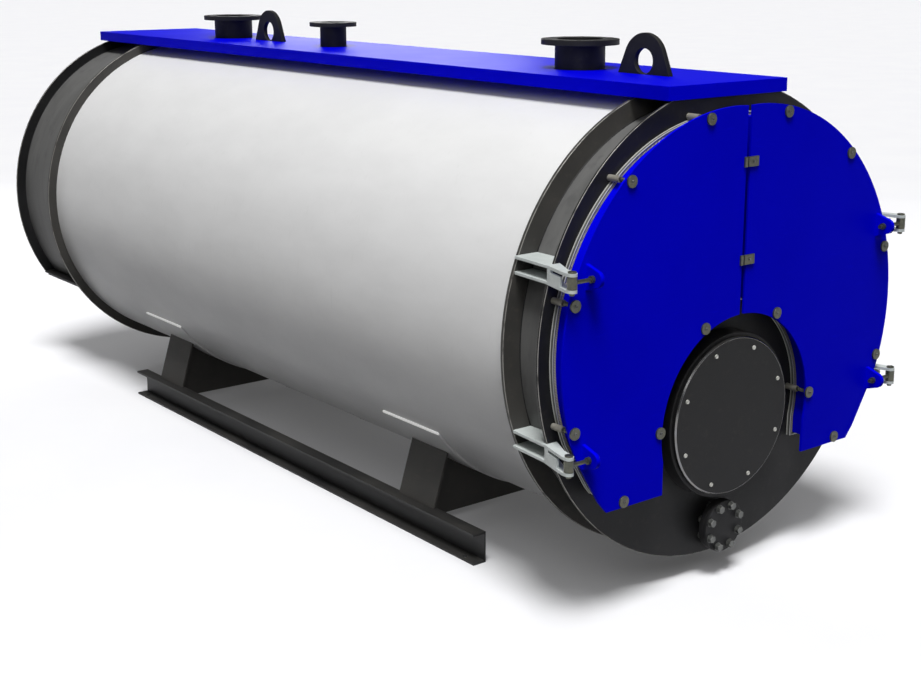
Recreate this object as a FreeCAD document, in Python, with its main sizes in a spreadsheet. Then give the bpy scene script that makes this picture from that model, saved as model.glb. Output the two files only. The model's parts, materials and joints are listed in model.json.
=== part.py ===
# Horizontal fire-tube boiler on two base channels. Millimetres, +X right seen from the front,
# +Y to the back, +Z up. The origin is on the floor, in the middle of the two base channels.
import FreeCAD, Part
import Sketcher
import math
import os
import re

doc = FreeCAD.newDocument("FireTubeBoiler")
sheet = doc.addObject("Spreadsheet::Sheet", "Sizes")

# ---------------------------------------------------------------- driving dimensions
# alias, value in mm (or degrees, or a count), what it is
sizes = [
    ("rimClear", 93, "front plate rim above the floor"),
    ("frontSetback", 2230, "front plate face to the middle of the base"),
    # drum and end boxes
    ("frontPlateRadius", 975, "front plate outer radius"),
    ("frontPlateThick", 12, "front plate thickness"),
    ("frontBoxDepth", 205, "front plate face to front tube plate face"),
    ("frontBoxStep", 90, "front smoke box shell inside the front plate rim"),
    ("boxWall", 6, "wall of both smoke box shells"),
    ("tubePlateStep", 5, "tube plate rim inside the front plate rim"),
    ("tubePlateThick", 16, "tube plate thickness"),
    ("rearTubePlateAt", 4460, "front plate face to rear tube plate face"),
    ("claddingStep", 55, "cladding inside the front plate rim"),
    ("claddingWall", 3, "cladding sheet with its backing"),
    ("insulation", 81, "gap between cladding and pressure shell"),
    ("shellWall", 12, "pressure shell wall"),
    ("rearBoxDepth", 510, "rear tube plate face to rear plate face"),
    ("rearPlateStep", 13, "rear plate rim inside the front plate rim"),
    ("rearPlateThick", 10, "rear plate thickness"),
    ("rearBoxStep", 57, "rear smoke box shell inside the rear plate rim"),
    ("rearFloorDrop", 515, "drum axis down to the rear box floor"),
    ("floorPlateThick", 10, "rear box floor plate"),
    ("cleanoutGap", 6, "gasket between floor and clean-out cover"),
    ("cleanoutThick", 12, "clean-out cover plate"),
    ("cleanoutInset", 22, "clean-out cover inside the floor edge"),
    ("flueRadius", 255, "flue outlet spigot outer radius"),
    ("flueWall", 5, "flue outlet spigot wall"),
    ("flueLength", 110, "flue outlet spigot length"),
    ("flueFlangeRadius", 305, "flue outlet flange outer radius"),
    ("flueFlangeThick", 12, "flue outlet flange thickness"),
    ("flueRise", 330, "flue outlet axis above the drum axis"),
    # top cover
    ("coverHalfWidth", 340, "top cover half width"),
    ("coverRim", 55, "top cover rim depth"),
    ("coverSheet", 3, "top cover sheet"),
    ("coverOverhang", 6, "top cover past the end plates"),
    ("coverFit", 3, "gap round what passes through the cover"),
    # nozzles
    ("nozzleRise", 128, "nozzle faces above the top cover"),
    ("bigPipeRadius", 109.55, "large nozzle pipe outer radius"),
    ("bigPipeWall", 8, "large nozzle pipe wall"),
    ("bigFlangeRadius", 170, "large nozzle flange outer radius"),
    ("bigFlangeThick", 24, "large nozzle flange thickness"),
    ("bigBoltCircle", 147.5, "large nozzle bolt circle radius"),
    ("bigBoltHole", 11, "large nozzle bolt hole radius"),
    ("bigBoltCount", 12, "large nozzle bolt count"),
    ("smallPipeRadius", 69.85, "small nozzle pipe outer radius"),
    ("smallPipeWall", 6.3, "small nozzle pipe wall"),
    ("smallFlangeRadius", 125, "small nozzle flange outer radius"),
    ("smallFlangeThick", 22, "small nozzle flange thickness"),
    ("smallBoltCircle", 105, "small nozzle bolt circle radius"),
    ("smallBoltHole", 9, "small nozzle bolt hole radius"),
    ("smallBoltCount", 8, "small nozzle bolt count"),
    ("frontNozzleAt", 861, "front plate face to front nozzle axis"),
    ("middleNozzleAt", 2807, "front plate face to middle nozzle axis"),
    ("rearNozzleAt", 3878, "front plate face to rear nozzle axis"),
    # lifting lugs
    ("frontLugAt", 462, "front plate face to front lug eye"),
    ("rearLugAt", 3458, "front plate face to rear lug eye"),
    ("lugThick", 25, "lifting lug plate"),
    ("lugEyeRise", 54, "lug eye centre above the top cover"),
    ("lugEyeRadius", 52.5, "lug eye radius"),
    ("lugRing", 63.5, "lug plate round the eye"),
    ("lugFoot", 149, "half the lug width at the cover"),
    # doors
    ("doorFaceAt", 115, "door face in front of the front plate face"),
    ("doorSheet", 10, "door face plate"),
    ("doorRimInset", 17, "door outer edge inside the front plate rim"),
    ("doorArcOut", 66, "door arc centre out from the middle"),
    ("doorArcUp", 6, "door arc centre above the drum axis"),
    ("doorGap", 24, "gap between the two doors"),
    ("doorBottom", 601, "drum axis down to the door bottom edge"),
    ("doorCornerOut", 733, "door bottom corner out from the middle"),
    ("doorCutDrop", 348, "drum axis down to the top of the slanted cut"),
    ("archGap", 86, "door cut-out outside the burner ring"),
    ("archNip", 12, "door cut-out narrower below the burner axis"),
    ("burnerDrop", 365, "drum axis down to the burner axis"),
    ("sealInset", 40, "seal channel inside the door edge"),
    ("sealWidth", 24, "seal channel width"),
    ("sealDepth", 20, "seal channel depth"),
    ("sealWall", 4, "seal channel wall"),
    ("sealFit", 0.3, "door body to seal channel, closed"),
    ("bodyInset", 52, "door body inside the door edge"),
    # door clamps
    ("clampInset", 25, "clamp bolts inside the door edge"),
    ("clampFromHinge", 100, "clamp bolt above or below the hinge, towards the middle of the door"),
    ("clampRodRadius", 8, "clamp bolt radius"),
    ("clampDiscRadius", 24, "clamp disc radius"),
    ("clampDiscThick", 9, "clamp disc thickness"),
    ("sleeveRadius", 13, "clamp sleeve outer radius"),
    ("sleeveLength", 58, "clamp sleeve length"),
    ("sleeveBore", 8.5, "clamp sleeve bore radius"),
    ("rodShort", 2, "clamp bolt tip short of its sleeve"),
    # hinges
    ("pinInset", 20, "hinge pin inside the front plate rim"),
    ("pinStandoff", 41, "hinge pin in front of the door face"),
    ("pinRadius", 10, "hinge pin radius"),
    ("upperHinge", 333, "upper hinge above the drum axis"),
    ("lowerHinge", 350, "lower hinge below the drum axis"),
    ("hingeHalf", 36, "half the bracket height"),
    ("hingePlate", 12, "bracket and arm plate thickness"),
    ("eyeRadius", 19, "hinge eye outer radius"),
    ("eyeFit", 2, "hinge eye to bracket plate, at each end"),
    ("runFit", 0.05, "hinge eye to pin, radial"),
    ("eyeRodRadius", 8, "hinge eye rod radius"),
    ("padInset", 110, "hinge ear inward of the pin"),
    ("earRoot", 50, "half the hinge ear height at the door"),
    ("earReach", 84, "hinge ear tip in front of the door face"),
    ("earTip", 32, "hinge ear tip radius"),
    ("earHalf", 9, "half the thickness of the hinge ear"),
    ("nutThick", 13, "hinge rod nut thickness"),
    ("upperCatch", 678, "upper catch above the drum axis"),
    ("lowerCatch", 288, "lower catch above the drum axis"),
    ("catchHalf", 20, "half the catch height"),
    ("catchThick", 9, "catch thickness"),
    ("catchReach", 6, "catch past the middle, over the gap"),
    ("catchOut", 52, "catch outer end from the middle"),
    ("catchKeeper", 27, "keeper outer end from the middle"),
    # burner opening
    ("burnerRingRadius", 346, "burner ring outer radius"),
    ("burnerRingWide", 61, "burner ring, bore to outside"),
    ("burnerRingDepth", 75, "burner ring depth"),
    ("burnerCoverStep", 16, "burner cover inside the ring edge"),
    ("burnerCoverThick", 16, "burner cover thickness"),
    ("throatWall", 10, "furnace throat wall"),
    # drain
    ("drainInset", 127, "drain axis inside the front plate rim"),
    ("drainPipeRadius", 57.15, "drain pipe outer radius"),
    ("drainPipeWall", 6, "drain pipe wall"),
    ("drainFlangeRadius", 110, "drain flange radius"),
    ("drainFlangeThick", 20, "drain flange thickness"),
    ("drainStub", 32, "drain pipe to the flange back"),
    ("drainBoltCircle", 90, "drain bolt circle radius"),
    ("drainBoltHole", 9, "drain bolt hole radius"),
    # saddles and base
    ("frontSaddleAt", 1118, "front plate face to front saddle middle"),
    ("rearSaddleAt", 3480, "front plate face to rear saddle middle"),
    ("padLength", 420, "wear pad along the drum"),
    ("wearPadThick", 10, "wear pad thickness"),
    ("padAngle", 53, "wear pad half angle"),
    ("legLength", 260, "saddle leg along the drum"),
    ("legThick", 12, "saddle leg plate"),
    ("legLean", 0.31, "leg lean inward per unit of height"),
    ("saddleWeb", 12, "saddle web plate"),
    ("saddleClear", 45, "saddle web above the floor"),
    ("channelBack", 700, "channel web out from the middle"),
    ("channelHeight", 140, "base channel height"),
    ("channelFlange", 60, "base channel flange"),
    ("channelWeb", 7, "base channel web"),
    ("channelFlangeThick", 10, "base channel flange thickness"),
    ("channelLength", 3174, "base channel length"),
    ("anchorRadius", 12, "anchor hole radius"),
    ("anchorFromEnd", 88, "anchor hole from the channel end"),
    ("anchorOut", 36, "anchor hole out from the channel back"),
]
for row, (alias, value, note) in enumerate(sizes, start=1):
    sheet.set(f"A{row}", note)
    sheet.set(f"B{row}", str(value))
    sheet.setAlias(f"B{row}", alias)
doc.recompute()

# places worked out from the driving dimensions
derived = {
    "axisHeight": "rimClear + frontPlateRadius",
    "tubePlateRadius": "frontPlateRadius - tubePlateStep",
    "frontBoxRadius": "frontPlateRadius - frontBoxStep",
    "claddingRadius": "frontPlateRadius - claddingStep",
    "shellRadius": "claddingRadius - claddingWall - insulation",
    "rearPlateRadius": "frontPlateRadius - rearPlateStep",
    "rearBoxRadius": "rearPlateRadius - rearBoxStep",
    "doorArcRadius": "frontPlateRadius - doorRimInset - doorArcOut",
    "burnerRingBore": "burnerRingRadius - burnerRingWide",
    "burnerCoverRadius": "burnerRingRadius - burnerCoverStep",
    "archRadius": "burnerRingRadius + archGap",
    "archHalfWidth": "archRadius - archNip",
    "pinOut": "frontPlateRadius - pinInset",
    "padOut": "pinOut - padInset",
    "eyeHalf": "hingeHalf - hingePlate - eyeFit",
    "frontFace": "-frontSetback",
    "frontPlateBack": "frontFace + frontPlateThick",
    "tubePlateFace": "frontFace + frontBoxDepth",
    "tubePlateBack": "tubePlateFace + tubePlateThick",
    "rearTubeFace": "frontFace + rearTubePlateAt",
    "rearTubeBack": "rearTubeFace + tubePlateThick",
    "rearPlateFace": "rearTubeFace + rearBoxDepth",
    "rearPlateBack": "rearPlateFace + rearPlateThick",
    "coverUnder": "axisHeight + frontPlateRadius",
    "coverTop": "coverUnder + coverSheet",
    "doorFace": "frontFace - doorFaceAt",
    "doorSheetBack": "doorFace + doorSheet",
    "sealFront": "frontFace - sealDepth",
    "burnerHeight": "axisHeight - burnerDrop",
    "burnerRingFront": "frontFace - burnerRingDepth",
    "drainHeight": "rimClear + drainInset",
    "pinY": "doorFace - pinStandoff",
    "rearFloorTop": "axisHeight - rearFloorDrop",
    "channelFront": "-channelLength / 2",
    "channelTip": "channelBack + channelFlange",
    "drainFlangeFront": "frontFace - drainStub - drainFlangeThick",
    "sleeveTip": "frontFace - sleeveLength",
    "doorMiddle": "doorGap / 2",
    "nozzleFace": "coverTop + nozzleRise",
    "lugEyeUp": "coverTop + lugEyeRise",
}
aliases = {alias for alias, value, note in sizes}


def spell(expression):
    """An expression with every named size and place written out for the sheet."""
    def swap(found):
        word = found.group(0)
        if word in derived:
            return "(" + spell(derived[word]) + ")"
        return "Sizes." + word if word in aliases else word
    return re.sub(r"[A-Za-z_][A-Za-z_0-9]*", swap, str(expression))


def bind(thing, prop, expression):
    thing.setExpression(prop, spell(expression))


def size(expression):
    """The present value of an expression, for counts and for outline points."""
    return float(sheet.evalExpression(spell(expression)))


def place(thing, x, y, z, axis=(0, 0, 1), angle=0):
    thing.Placement = FreeCAD.Placement(FreeCAD.Vector(), FreeCAD.Rotation(FreeCAD.Vector(*axis), angle))
    for letter, expression in (("x", x), ("y", y), ("z", z)):
        bind(thing, "Placement.Base." + letter, expression)
    return thing


# ---------------------------------------------------------------- simple solids
def block(name, x, y, z):
    """A box between the two expressions given for each direction."""
    box = doc.addObject("Part::Box", name)
    for prop, (low, high) in (("Length", x), ("Width", y), ("Height", z)):
        bind(box, prop, f"({high}) - ({low})")
    return place(box, x[0], y[0], z[0])


turns = {"x": ((0, 1, 0), 90), "y": ((1, 0, 0), -90), "z": ((0, 0, 1), 0)}


def rod(name, radius, along, start, end, at):
    """A cylinder along x, y or z from start to end; at gives its other two coordinates."""
    cylinder = doc.addObject("Part::Cylinder", name)
    bind(cylinder, "Radius", radius)
    bind(cylinder, "Height", f"({end}) - ({start})")
    spot = {"x": (start, *at), "y": (at[0], start, at[1]), "z": (*at, start)}[along]
    return place(cylinder, *spot, *turns[along])


def cut(name, base, *tools):
    result = doc.addObject("Part::Cut", name)
    result.Base = base
    result.Tool = tools[0] if len(tools) == 1 else fuse(name + "Tools", *tools)
    return result


def fuse(name, *parts):
    result = doc.addObject("Part::MultiFuse", name)
    result.Shapes = list(parts)
    return result


def common(name, *parts):
    result = doc.addObject("Part::MultiCommon", name)
    result.Shapes = list(parts)
    return result


def group(name, *parts):
    """Separate like solids that share one node."""
    result = doc.addObject("Part::Compound", name)
    result.Links = list(parts)
    return result


def mirror(name, source):
    """The same piece on the other side of the middle plane."""
    result = doc.addObject("Part::Mirroring", name)
    result.Source = source
    result.Normal = FreeCAD.Vector(1, 0, 0)
    return result


def bothSides(name, source):
    return group(name, source, mirror(name + "Left", source))


def tube(name, outer, inner, along, start, end, at):
    return cut(name, rod(name + "Outside", outer, along, start, end, at),
               rod(name + "Bore", inner, along, f"({start}) - 1", f"({end}) + 1", at))


nodes = []


def node(name, thing):
    thing.Label = name
    nodes.append(thing)
    return thing


def plane(body, role):
    return next(f for f in body.Origin.OriginFeatures if f.Role == role)


def outline(sketch, points):
    """A closed outline of straight lines; every corner is held by two bound distances."""
    spots = [FreeCAD.Vector(size(a), size(b), 0) for a, b in points]
    for index, spot in enumerate(spots):
        sketch.addGeometry(Part.LineSegment(spot, spots[(index + 1) % len(spots)]))
    for index, (a, b) in enumerate(points):
        sketch.addConstraint(Sketcher.Constraint("Coincident", index, 2, (index + 1) % len(points), 1))
    for index, (a, b) in enumerate(points):
        for kind, expression in (("DistanceX", a), ("DistanceY", b)):
            held = sketch.addConstraint(Sketcher.Constraint(kind, -1, 1, index, 1, size(expression)))
            bind(sketch, f"Constraints[{held}]", expression)


# ---------------------------------------------------------------- drum and end boxes
axis = ("0", "axisHeight")


def doorSlab(name, inset, front, back):
    """The right door's outline, drawn in by inset, between two depths."""
    body = common(name + "Blank",
                  rod(name + "Disc", f"doorArcRadius - ({inset})", "y", front, back,
                      ("doorArcOut", "axisHeight + doorArcUp")),
                  block(name + "Half", (f"doorMiddle + ({inset})", "2 * doorArcRadius"), (front, back),
                        (f"axisHeight - doorBottom + ({inset})", "axisHeight + 2 * doorArcRadius")))
    arch = rod(name + "Arch", f"archRadius + ({inset})", "y", f"({front}) - 1", f"({back}) + 1",
               ("0", "burnerHeight"))
    below = block(name + "Below", ("0", f"archHalfWidth + ({inset})"), (f"({front}) - 1", f"({back}) + 1"),
                  ("0", "burnerHeight"))
    return cut(name, body, arch, below, slant(name + "Slant", inset, front, back))


def slant(name, inset, front, back):
    """The wedge taken off below the slanted lower edge of a door."""
    topOut = "(doorArcOut + sqrt(pow(doorArcRadius; 2) - pow(doorCutDrop + doorArcUp; 2)))"
    run = f"({topOut} - doorCornerOut)"
    rise = "(doorBottom - doorCutDrop)"
    wedge = doc.addObject("Part::Box", name)
    bind(wedge, "Length", "doorArcRadius")
    bind(wedge, "Width", f"({back}) - ({front}) + 2")
    bind(wedge, "Height", "doorArcRadius")
    lean = math.degrees(math.atan2(size(run), size(rise)))
    slope = f"sqrt(pow({run}; 2) + pow({rise}; 2))"
    place(wedge, f"doorCornerOut - ({inset}) * {rise} / {slope} - doorArcRadius / 2 * {run} / {slope}",
          f"({front}) - 1",
          f"axisHeight - doorBottom + ({inset}) * {run} / {slope} - doorArcRadius / 2 * {rise} / {slope}",
          (0, 1, 0), lean)
    return wedge


def opening(name, front, back):
    """The gas opening behind one door, inside the seal channel."""
    return doorSlab(name, "sealInset + sealWidth", front, back)


rightOpening = opening("RightOpening", "frontFace - 1", "frontPlateBack + 1")
node("front_plate", cut("FrontPlate",
     rod("FrontDisc", "frontPlateRadius", "y", "frontFace", "frontPlateBack", axis),
     rightOpening, mirror("LeftOpening", rightOpening),
     rod("ThroatHole", "burnerRingBore", "y", "frontFace - 1", "frontPlateBack + 1", ("0", "burnerHeight")),
     rod("DrainHole", "drainPipeRadius - drainPipeWall", "y", "frontFace - 1", "frontPlateBack + 1",
         ("0", "drainHeight"))))
node("front_smoke_box_shell", tube("FrontShell", "frontBoxRadius", "frontBoxRadius - boxWall", "y",
     "frontPlateBack", "tubePlateFace", axis))
node("front_tube_plate", rod("FrontTubePlate", "tubePlateRadius", "y", "tubePlateFace", "tubePlateBack", axis))
node("rear_tube_plate", rod("RearTubePlate", "tubePlateRadius", "y", "rearTubeFace", "rearTubeBack", axis))
node("furnace_throat", tube("Throat", "burnerRingBore + throatWall", "burnerRingBore", "y",
     "frontPlateBack", "tubePlateFace", ("0", "burnerHeight")))
node("pressure_shell", tube("PressureShell", "shellRadius", "shellRadius - shellWall", "y",
     "tubePlateBack", "rearTubeFace", axis))

nozzles = (("front", "frontNozzleAt", "big"), ("middle", "middleNozzleAt", "small"),
           ("rear", "rearNozzleAt", "big"))
lugs = (("front", "frontLugAt"), ("rear", "rearLugAt"))


def throughHoles(name, grow):
    """Room for the nozzle pipes and lug plates through the sheet above the drum."""
    rooms = []
    for end, at, kind in nozzles:
        rooms.append(rod(f"{name}{end}Room", f"{kind}PipeRadius + ({grow})", "z",
                         "axisHeight", "coverTop + coverRim", ("0", f"frontFace + {at}")))
    for end, at in lugs:
        rooms.append(block(f"{name}{end}Slot", (f"-lugThick / 2 - ({grow})", f"lugThick / 2 + ({grow})"),
                           (f"frontFace + {at} - lugFoot - ({grow})", f"frontFace + {at} + lugFoot + ({grow})"),
                           ("axisHeight", "coverTop + coverRim")))
    return rooms


node("cladding", cut("Cladding",
     tube("CladdingTube", "claddingRadius", "claddingRadius - claddingWall", "y",
          "tubePlateBack", "rearTubeFace", axis), *throughHoles("Cladding", "coverFit")))
node("top_cover", cut("TopCover",
     block("CoverBlank", ("-coverHalfWidth", "coverHalfWidth"),
           ("frontFace - coverOverhang", "rearPlateBack + coverOverhang"), ("coverTop - coverRim", "coverTop")),
     block("CoverInside", ("coverSheet - coverHalfWidth", "coverHalfWidth - coverSheet"),
           ("frontFace - coverOverhang + coverSheet", "rearPlateBack + coverOverhang - coverSheet"),
           ("coverTop - coverRim - 1", "coverUnder")),
     *throughHoles("Cover", "coverFit")))

# ---------------------------------------------------------------- rear smoke box
floorRoom = block("FloorRoom", ("-2 * rearPlateRadius", "2 * rearPlateRadius"),
                  ("rearTubeBack - 1", "rearPlateBack + 1"), ("0", "rearFloorTop"))
node("rear_smoke_box_shell", cut("RearShell",
     tube("RearShellTube", "rearBoxRadius", "rearBoxRadius - boxWall", "y", "rearTubeBack", "rearPlateFace", axis),
     floorRoom))
flueHole = rod("FlueHole", "flueRadius - flueWall", "y", "rearPlateFace - 1", "rearPlateBack + 1",
               ("0", "axisHeight + flueRise"))
node("rear_plate", cut("RearPlate",
     rod("RearDisc", "rearPlateRadius", "y", "rearPlateFace", "rearPlateBack", axis), floorRoom, flueHole))
floorHalf = "sqrt(pow(rearPlateRadius; 2) - pow(rearFloorDrop; 2))"
node("rear_box_floor", block("RearFloor", (f"-{floorHalf}", floorHalf), ("rearTubeBack", "rearPlateBack"),
     ("rearFloorTop - floorPlateThick", "rearFloorTop")))
node("cleanout_cover", group("Cleanout",
     block("CleanoutGasket", (f"2 * cleanoutInset - {floorHalf}", f"{floorHalf} - 2 * cleanoutInset"),
           ("rearTubeBack + cleanoutInset", "rearPlateBack - cleanoutInset"),
           ("rearFloorTop - floorPlateThick - cleanoutGap", "rearFloorTop - floorPlateThick")),
     block("CleanoutPlate", (f"cleanoutInset - {floorHalf}", f"{floorHalf} - cleanoutInset"),
           ("rearTubeBack + coverFit", "rearPlateBack"),
           ("rearFloorTop - floorPlateThick - cleanoutGap - cleanoutThick",
            "rearFloorTop - floorPlateThick - cleanoutGap"))))
flueAxis = ("0", "axisHeight + flueRise")
node("flue_outlet", fuse("FlueOutlet",
     tube("FlueSpigot", "flueRadius", "flueRadius - flueWall", "y", "rearPlateBack",
          "rearPlateBack + flueLength", flueAxis),
     tube("FlueFlange", "flueFlangeRadius", "flueRadius", "y",
          "rearPlateBack + flueLength - flueFlangeThick", "rearPlateBack + flueLength", flueAxis)))


# ---------------------------------------------------------------- nozzles and lifting lugs
def nozzle(end, at, kind):
    """A pipe standing on the pressure shell with a drilled flange on its top."""
    top = "nozzleFace"
    spot = ("0", f"frontFace + {at}")
    pipe = rod(f"{end}Pipe", f"{kind}PipeRadius", "z", "axisHeight", top, spot)
    flange = rod(f"{end}Flange", f"{kind}FlangeRadius", "z", f"{top} - {kind}FlangeThick", top, spot)
    bore = rod(f"{end}Bore", f"{kind}PipeRadius - {kind}PipeWall", "z", "axisHeight - 1", f"{top} + 1", spot)
    drum = rod(f"{end}Drum", "shellRadius", "y", f"{spot[1]} - shellRadius", f"{spot[1]} + shellRadius", axis)
    count = int(size(f"{kind}BoltCount"))
    holes = [rod(f"{end}Hole{number}", f"{kind}BoltHole", "z", f"{top} - {kind}FlangeThick - 1", f"{top} + 1",
                 (f"{kind}BoltCircle * cos({(number + 0.5) * 360 / count} deg)",
                  f"{spot[1]} + {kind}BoltCircle * sin({(number + 0.5) * 360 / count} deg)"))
             for number in range(count)]
    return cut(f"{end}Nozzle", fuse(f"{end}NozzleBlank", pipe, flange), bore, drum, *holes)


for end, at, kind in nozzles:
    node(f"nozzle_{end}", nozzle(end, at, kind))


def liftingLug(end, at):
    """An arched plate with its eye, standing on the pressure shell."""
    middle = f"frontFace + {at}"
    sides = ("-lugThick / 2", "lugThick / 2")
    eyeUp = "lugEyeUp"
    spot = (middle, eyeUp)
    body = doc.addObject("PartDesign::Body", f"{end}LugBody")
    sketch = body.newObject("Sketcher::SketchObject", f"{end}LugSketch")
    sketch.AttachmentSupport = [(plane(body, "YZ_Plane"), "")]
    sketch.MapMode = "FlatFace"
    # the straight flanks touch the ring round the eye
    reach = "lugEyeRise"
    outer = "(lugEyeRadius + lugRing)"
    span = f"(pow(lugFoot; 2) + pow({reach}; 2))"
    sideways = f"{outer} * (lugFoot * {outer} + {reach} * sqrt({span} - pow({outer}; 2))) / {span}"
    upward = f"{outer} * (lugFoot * sqrt({span} - pow({outer}; 2)) - {reach} * {outer}) / {span}"
    outline(sketch, [(f"{middle} - lugFoot", "axisHeight + shellRadius - lugThick"),
                     (f"{middle} + lugFoot", "axisHeight + shellRadius - lugThick"),
                     (f"{middle} + lugFoot", "coverTop"),
                     (f"{middle} + {sideways}", f"{eyeUp} + {upward}"),
                     (f"{middle} - {sideways}", f"{eyeUp} + {upward}"),
                     (f"{middle} - lugFoot", "coverTop")])
    pad = body.newObject("PartDesign::Pad", f"{end}LugPad")
    pad.Profile = sketch
    pad.Midplane = True
    bind(pad, "Length", "lugThick")
    return cut(f"{end}Lug", fuse(f"{end}LugBlank", body,
                                 rod(f"{end}LugRing", outer, "x", *sides, spot)),
               rod(f"{end}LugEye", "lugEyeRadius", "x", "-lugThick", "lugThick", spot),
               rod(f"{end}LugSeat", "shellRadius", "y", f"{middle} - 2 * lugFoot", f"{middle} + 2 * lugFoot", axis))


node("lifting_lugs", group("LiftingLugs", *[liftingLug(end, at) for end, at in lugs]))

# ---------------------------------------------------------------- burner opening and drain
burnerAxis = ("0", "burnerHeight")
drainAxis = ("0", "drainHeight")
node("burner_ring", tube("BurnerRing", "burnerRingRadius", "burnerRingBore", "y", "burnerRingFront",
     "frontFace", burnerAxis))
node("burner_cover", rod("BurnerCover", "burnerCoverRadius", "y", "burnerRingFront - burnerCoverThick",
     "burnerRingFront", burnerAxis))
node("drain_flange", fuse("DrainFlange",
     tube("DrainPipe", "drainPipeRadius", "drainPipeRadius - drainPipeWall", "y",
          "frontFace - drainStub", "frontFace", drainAxis),
     tube("DrainCollar", "drainFlangeRadius", "drainPipeRadius - drainPipeWall", "y", "drainFlangeFront",
          "frontFace - drainStub", drainAxis)))
node("drain_blind_flange", rod("DrainBlind", "drainFlangeRadius", "y", "drainFlangeFront - drainFlangeThick",
     "drainFlangeFront", drainAxis))

# ---------------------------------------------------------------- seal channels and doors
sealTop = "(sealInset + sealWall)"
sealBack = "(sealInset + sealWidth - sealWall)"
rightSeal = cut("RightSeal", doorSlab("SealOutside", "sealInset", "sealFront", "frontFace"),
                doorSlab("SealInside", "sealInset + sealWidth", "sealFront - 1", "frontFace + 1"),
                cut("SealGroove", doorSlab("GrooveOutside", sealTop, "sealFront - 1", "frontFace - sealWall"),
                    doorSlab("GrooveInside", sealBack, "sealFront - 2", "frontFace - sealWall + 1")))
node("seal_channels", bothSides("SealChannels", rightSeal))

# clamp bolts: (out, up) of each one, on the outlines drawn in by clampInset
clampSpots = [(f"doorArcOut + (doorArcRadius - clampInset) * cos({angle} deg)",
               f"axisHeight + doorArcUp + (doorArcRadius - clampInset) * sin({angle} deg)")
              for angle in (79.5, 49)]
clampSpots += [(f"doorArcOut + sqrt(pow(doorArcRadius - clampInset; 2) - pow({rise} - doorArcUp; 2))",
                f"axisHeight + {rise}")
               for rise in ("(upperHinge - clampFromHinge)", "(clampFromHinge - lowerHinge)")]
clampSpots.append(("(archRadius + clampInset) * cos(62.5 deg)",
                   "burnerHeight + (archRadius + clampInset) * sin(62.5 deg)"))
clampSpots.append(("archHalfWidth + clampInset", "burnerHeight + clampInset"))
clampSpots.append(("doorCornerOut - 4 * clampInset", "axisHeight - doorBottom + clampInset"))

sleeves = [cut(f"Sleeve{number}", rod(f"SleeveBody{number}", "sleeveRadius", "y", "sleeveTip", "frontFace", spot),
               rod(f"SleeveBore{number}", "sleeveBore", "y", "sleeveTip - 1", "frontFace - sealWall", spot))
           for number, spot in enumerate(clampSpots)]
rightSleeves = group("RightSleeves", *sleeves)
node("clamp_sleeves", bothSides("ClampSleeves", rightSleeves))

holes = [rod(f"ClampHole{number}", "clampRodRadius", "y", "doorFace - 1", "doorSheetBack + 1", spot)
         for number, spot in enumerate(clampSpots)]
rightFace = cut("RightFace", doorSlab("FaceSheet", "0", "doorFace", "doorSheetBack"), *holes)
rightBody = doorSlab("RightBody", "bodyInset", "doorSheetBack", "sealFront - sealFit")
clamps = [fuse(f"Clamp{number}",
               rod(f"ClampRod{number}", "clampRodRadius", "y", "doorFace", "sleeveTip - rodShort", spot),
               rod(f"ClampDisc{number}", "clampDiscRadius", "y", "doorFace - clampDiscThick", "doorFace", spot))
          for number, spot in enumerate(clampSpots)]
rightClamps = group("RightClamps", *clamps)

# ---------------------------------------------------------------- hinges, right side
hingeHeights = ("axisHeight + upperHinge", "axisHeight - lowerHinge")


def flatPlate(name, points, low, high):
    """A level plate with the plan given, between two heights."""
    body = doc.addObject("PartDesign::Body", name)
    sketch = body.newObject("Sketcher::SketchObject", name + "Plan")
    sketch.AttachmentSupport = [(plane(body, "XY_Plane"), "")]
    sketch.MapMode = "FlatFace"
    outline(sketch, points)
    pad = body.newObject("PartDesign::Pad", name + "Pad")
    pad.Profile = sketch
    bind(pad, "Length", f"({high}) - ({low})")
    bind(body, "Placement.Base.z", low)
    return body


armOut = "(pinOut - eyeRadius)"
armPlan = [("frontBoxRadius - 3 * hingeHalf", "frontFace"), (armOut, "frontFace"),
           ("pinOut - 2 * eyeRadius", "tubePlateFace"), ("frontBoxRadius - 3 * hingeHalf", "tubePlateFace")]
bracketFoot = "(padOut + 2.5 * hingePlate)"
bracketPlan = [(bracketFoot, "frontFace"), (armOut, "frontFace"),
               ("pinOut + eyeRadius", "pinY + eyeRadius"), ("pinOut + eyeRadius", "pinY"),
               ("pinOut - eyeRadius", "pinY"), ("pinOut - eyeRadius - hingePlate", "pinY + 3 * eyeRadius")]


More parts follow.
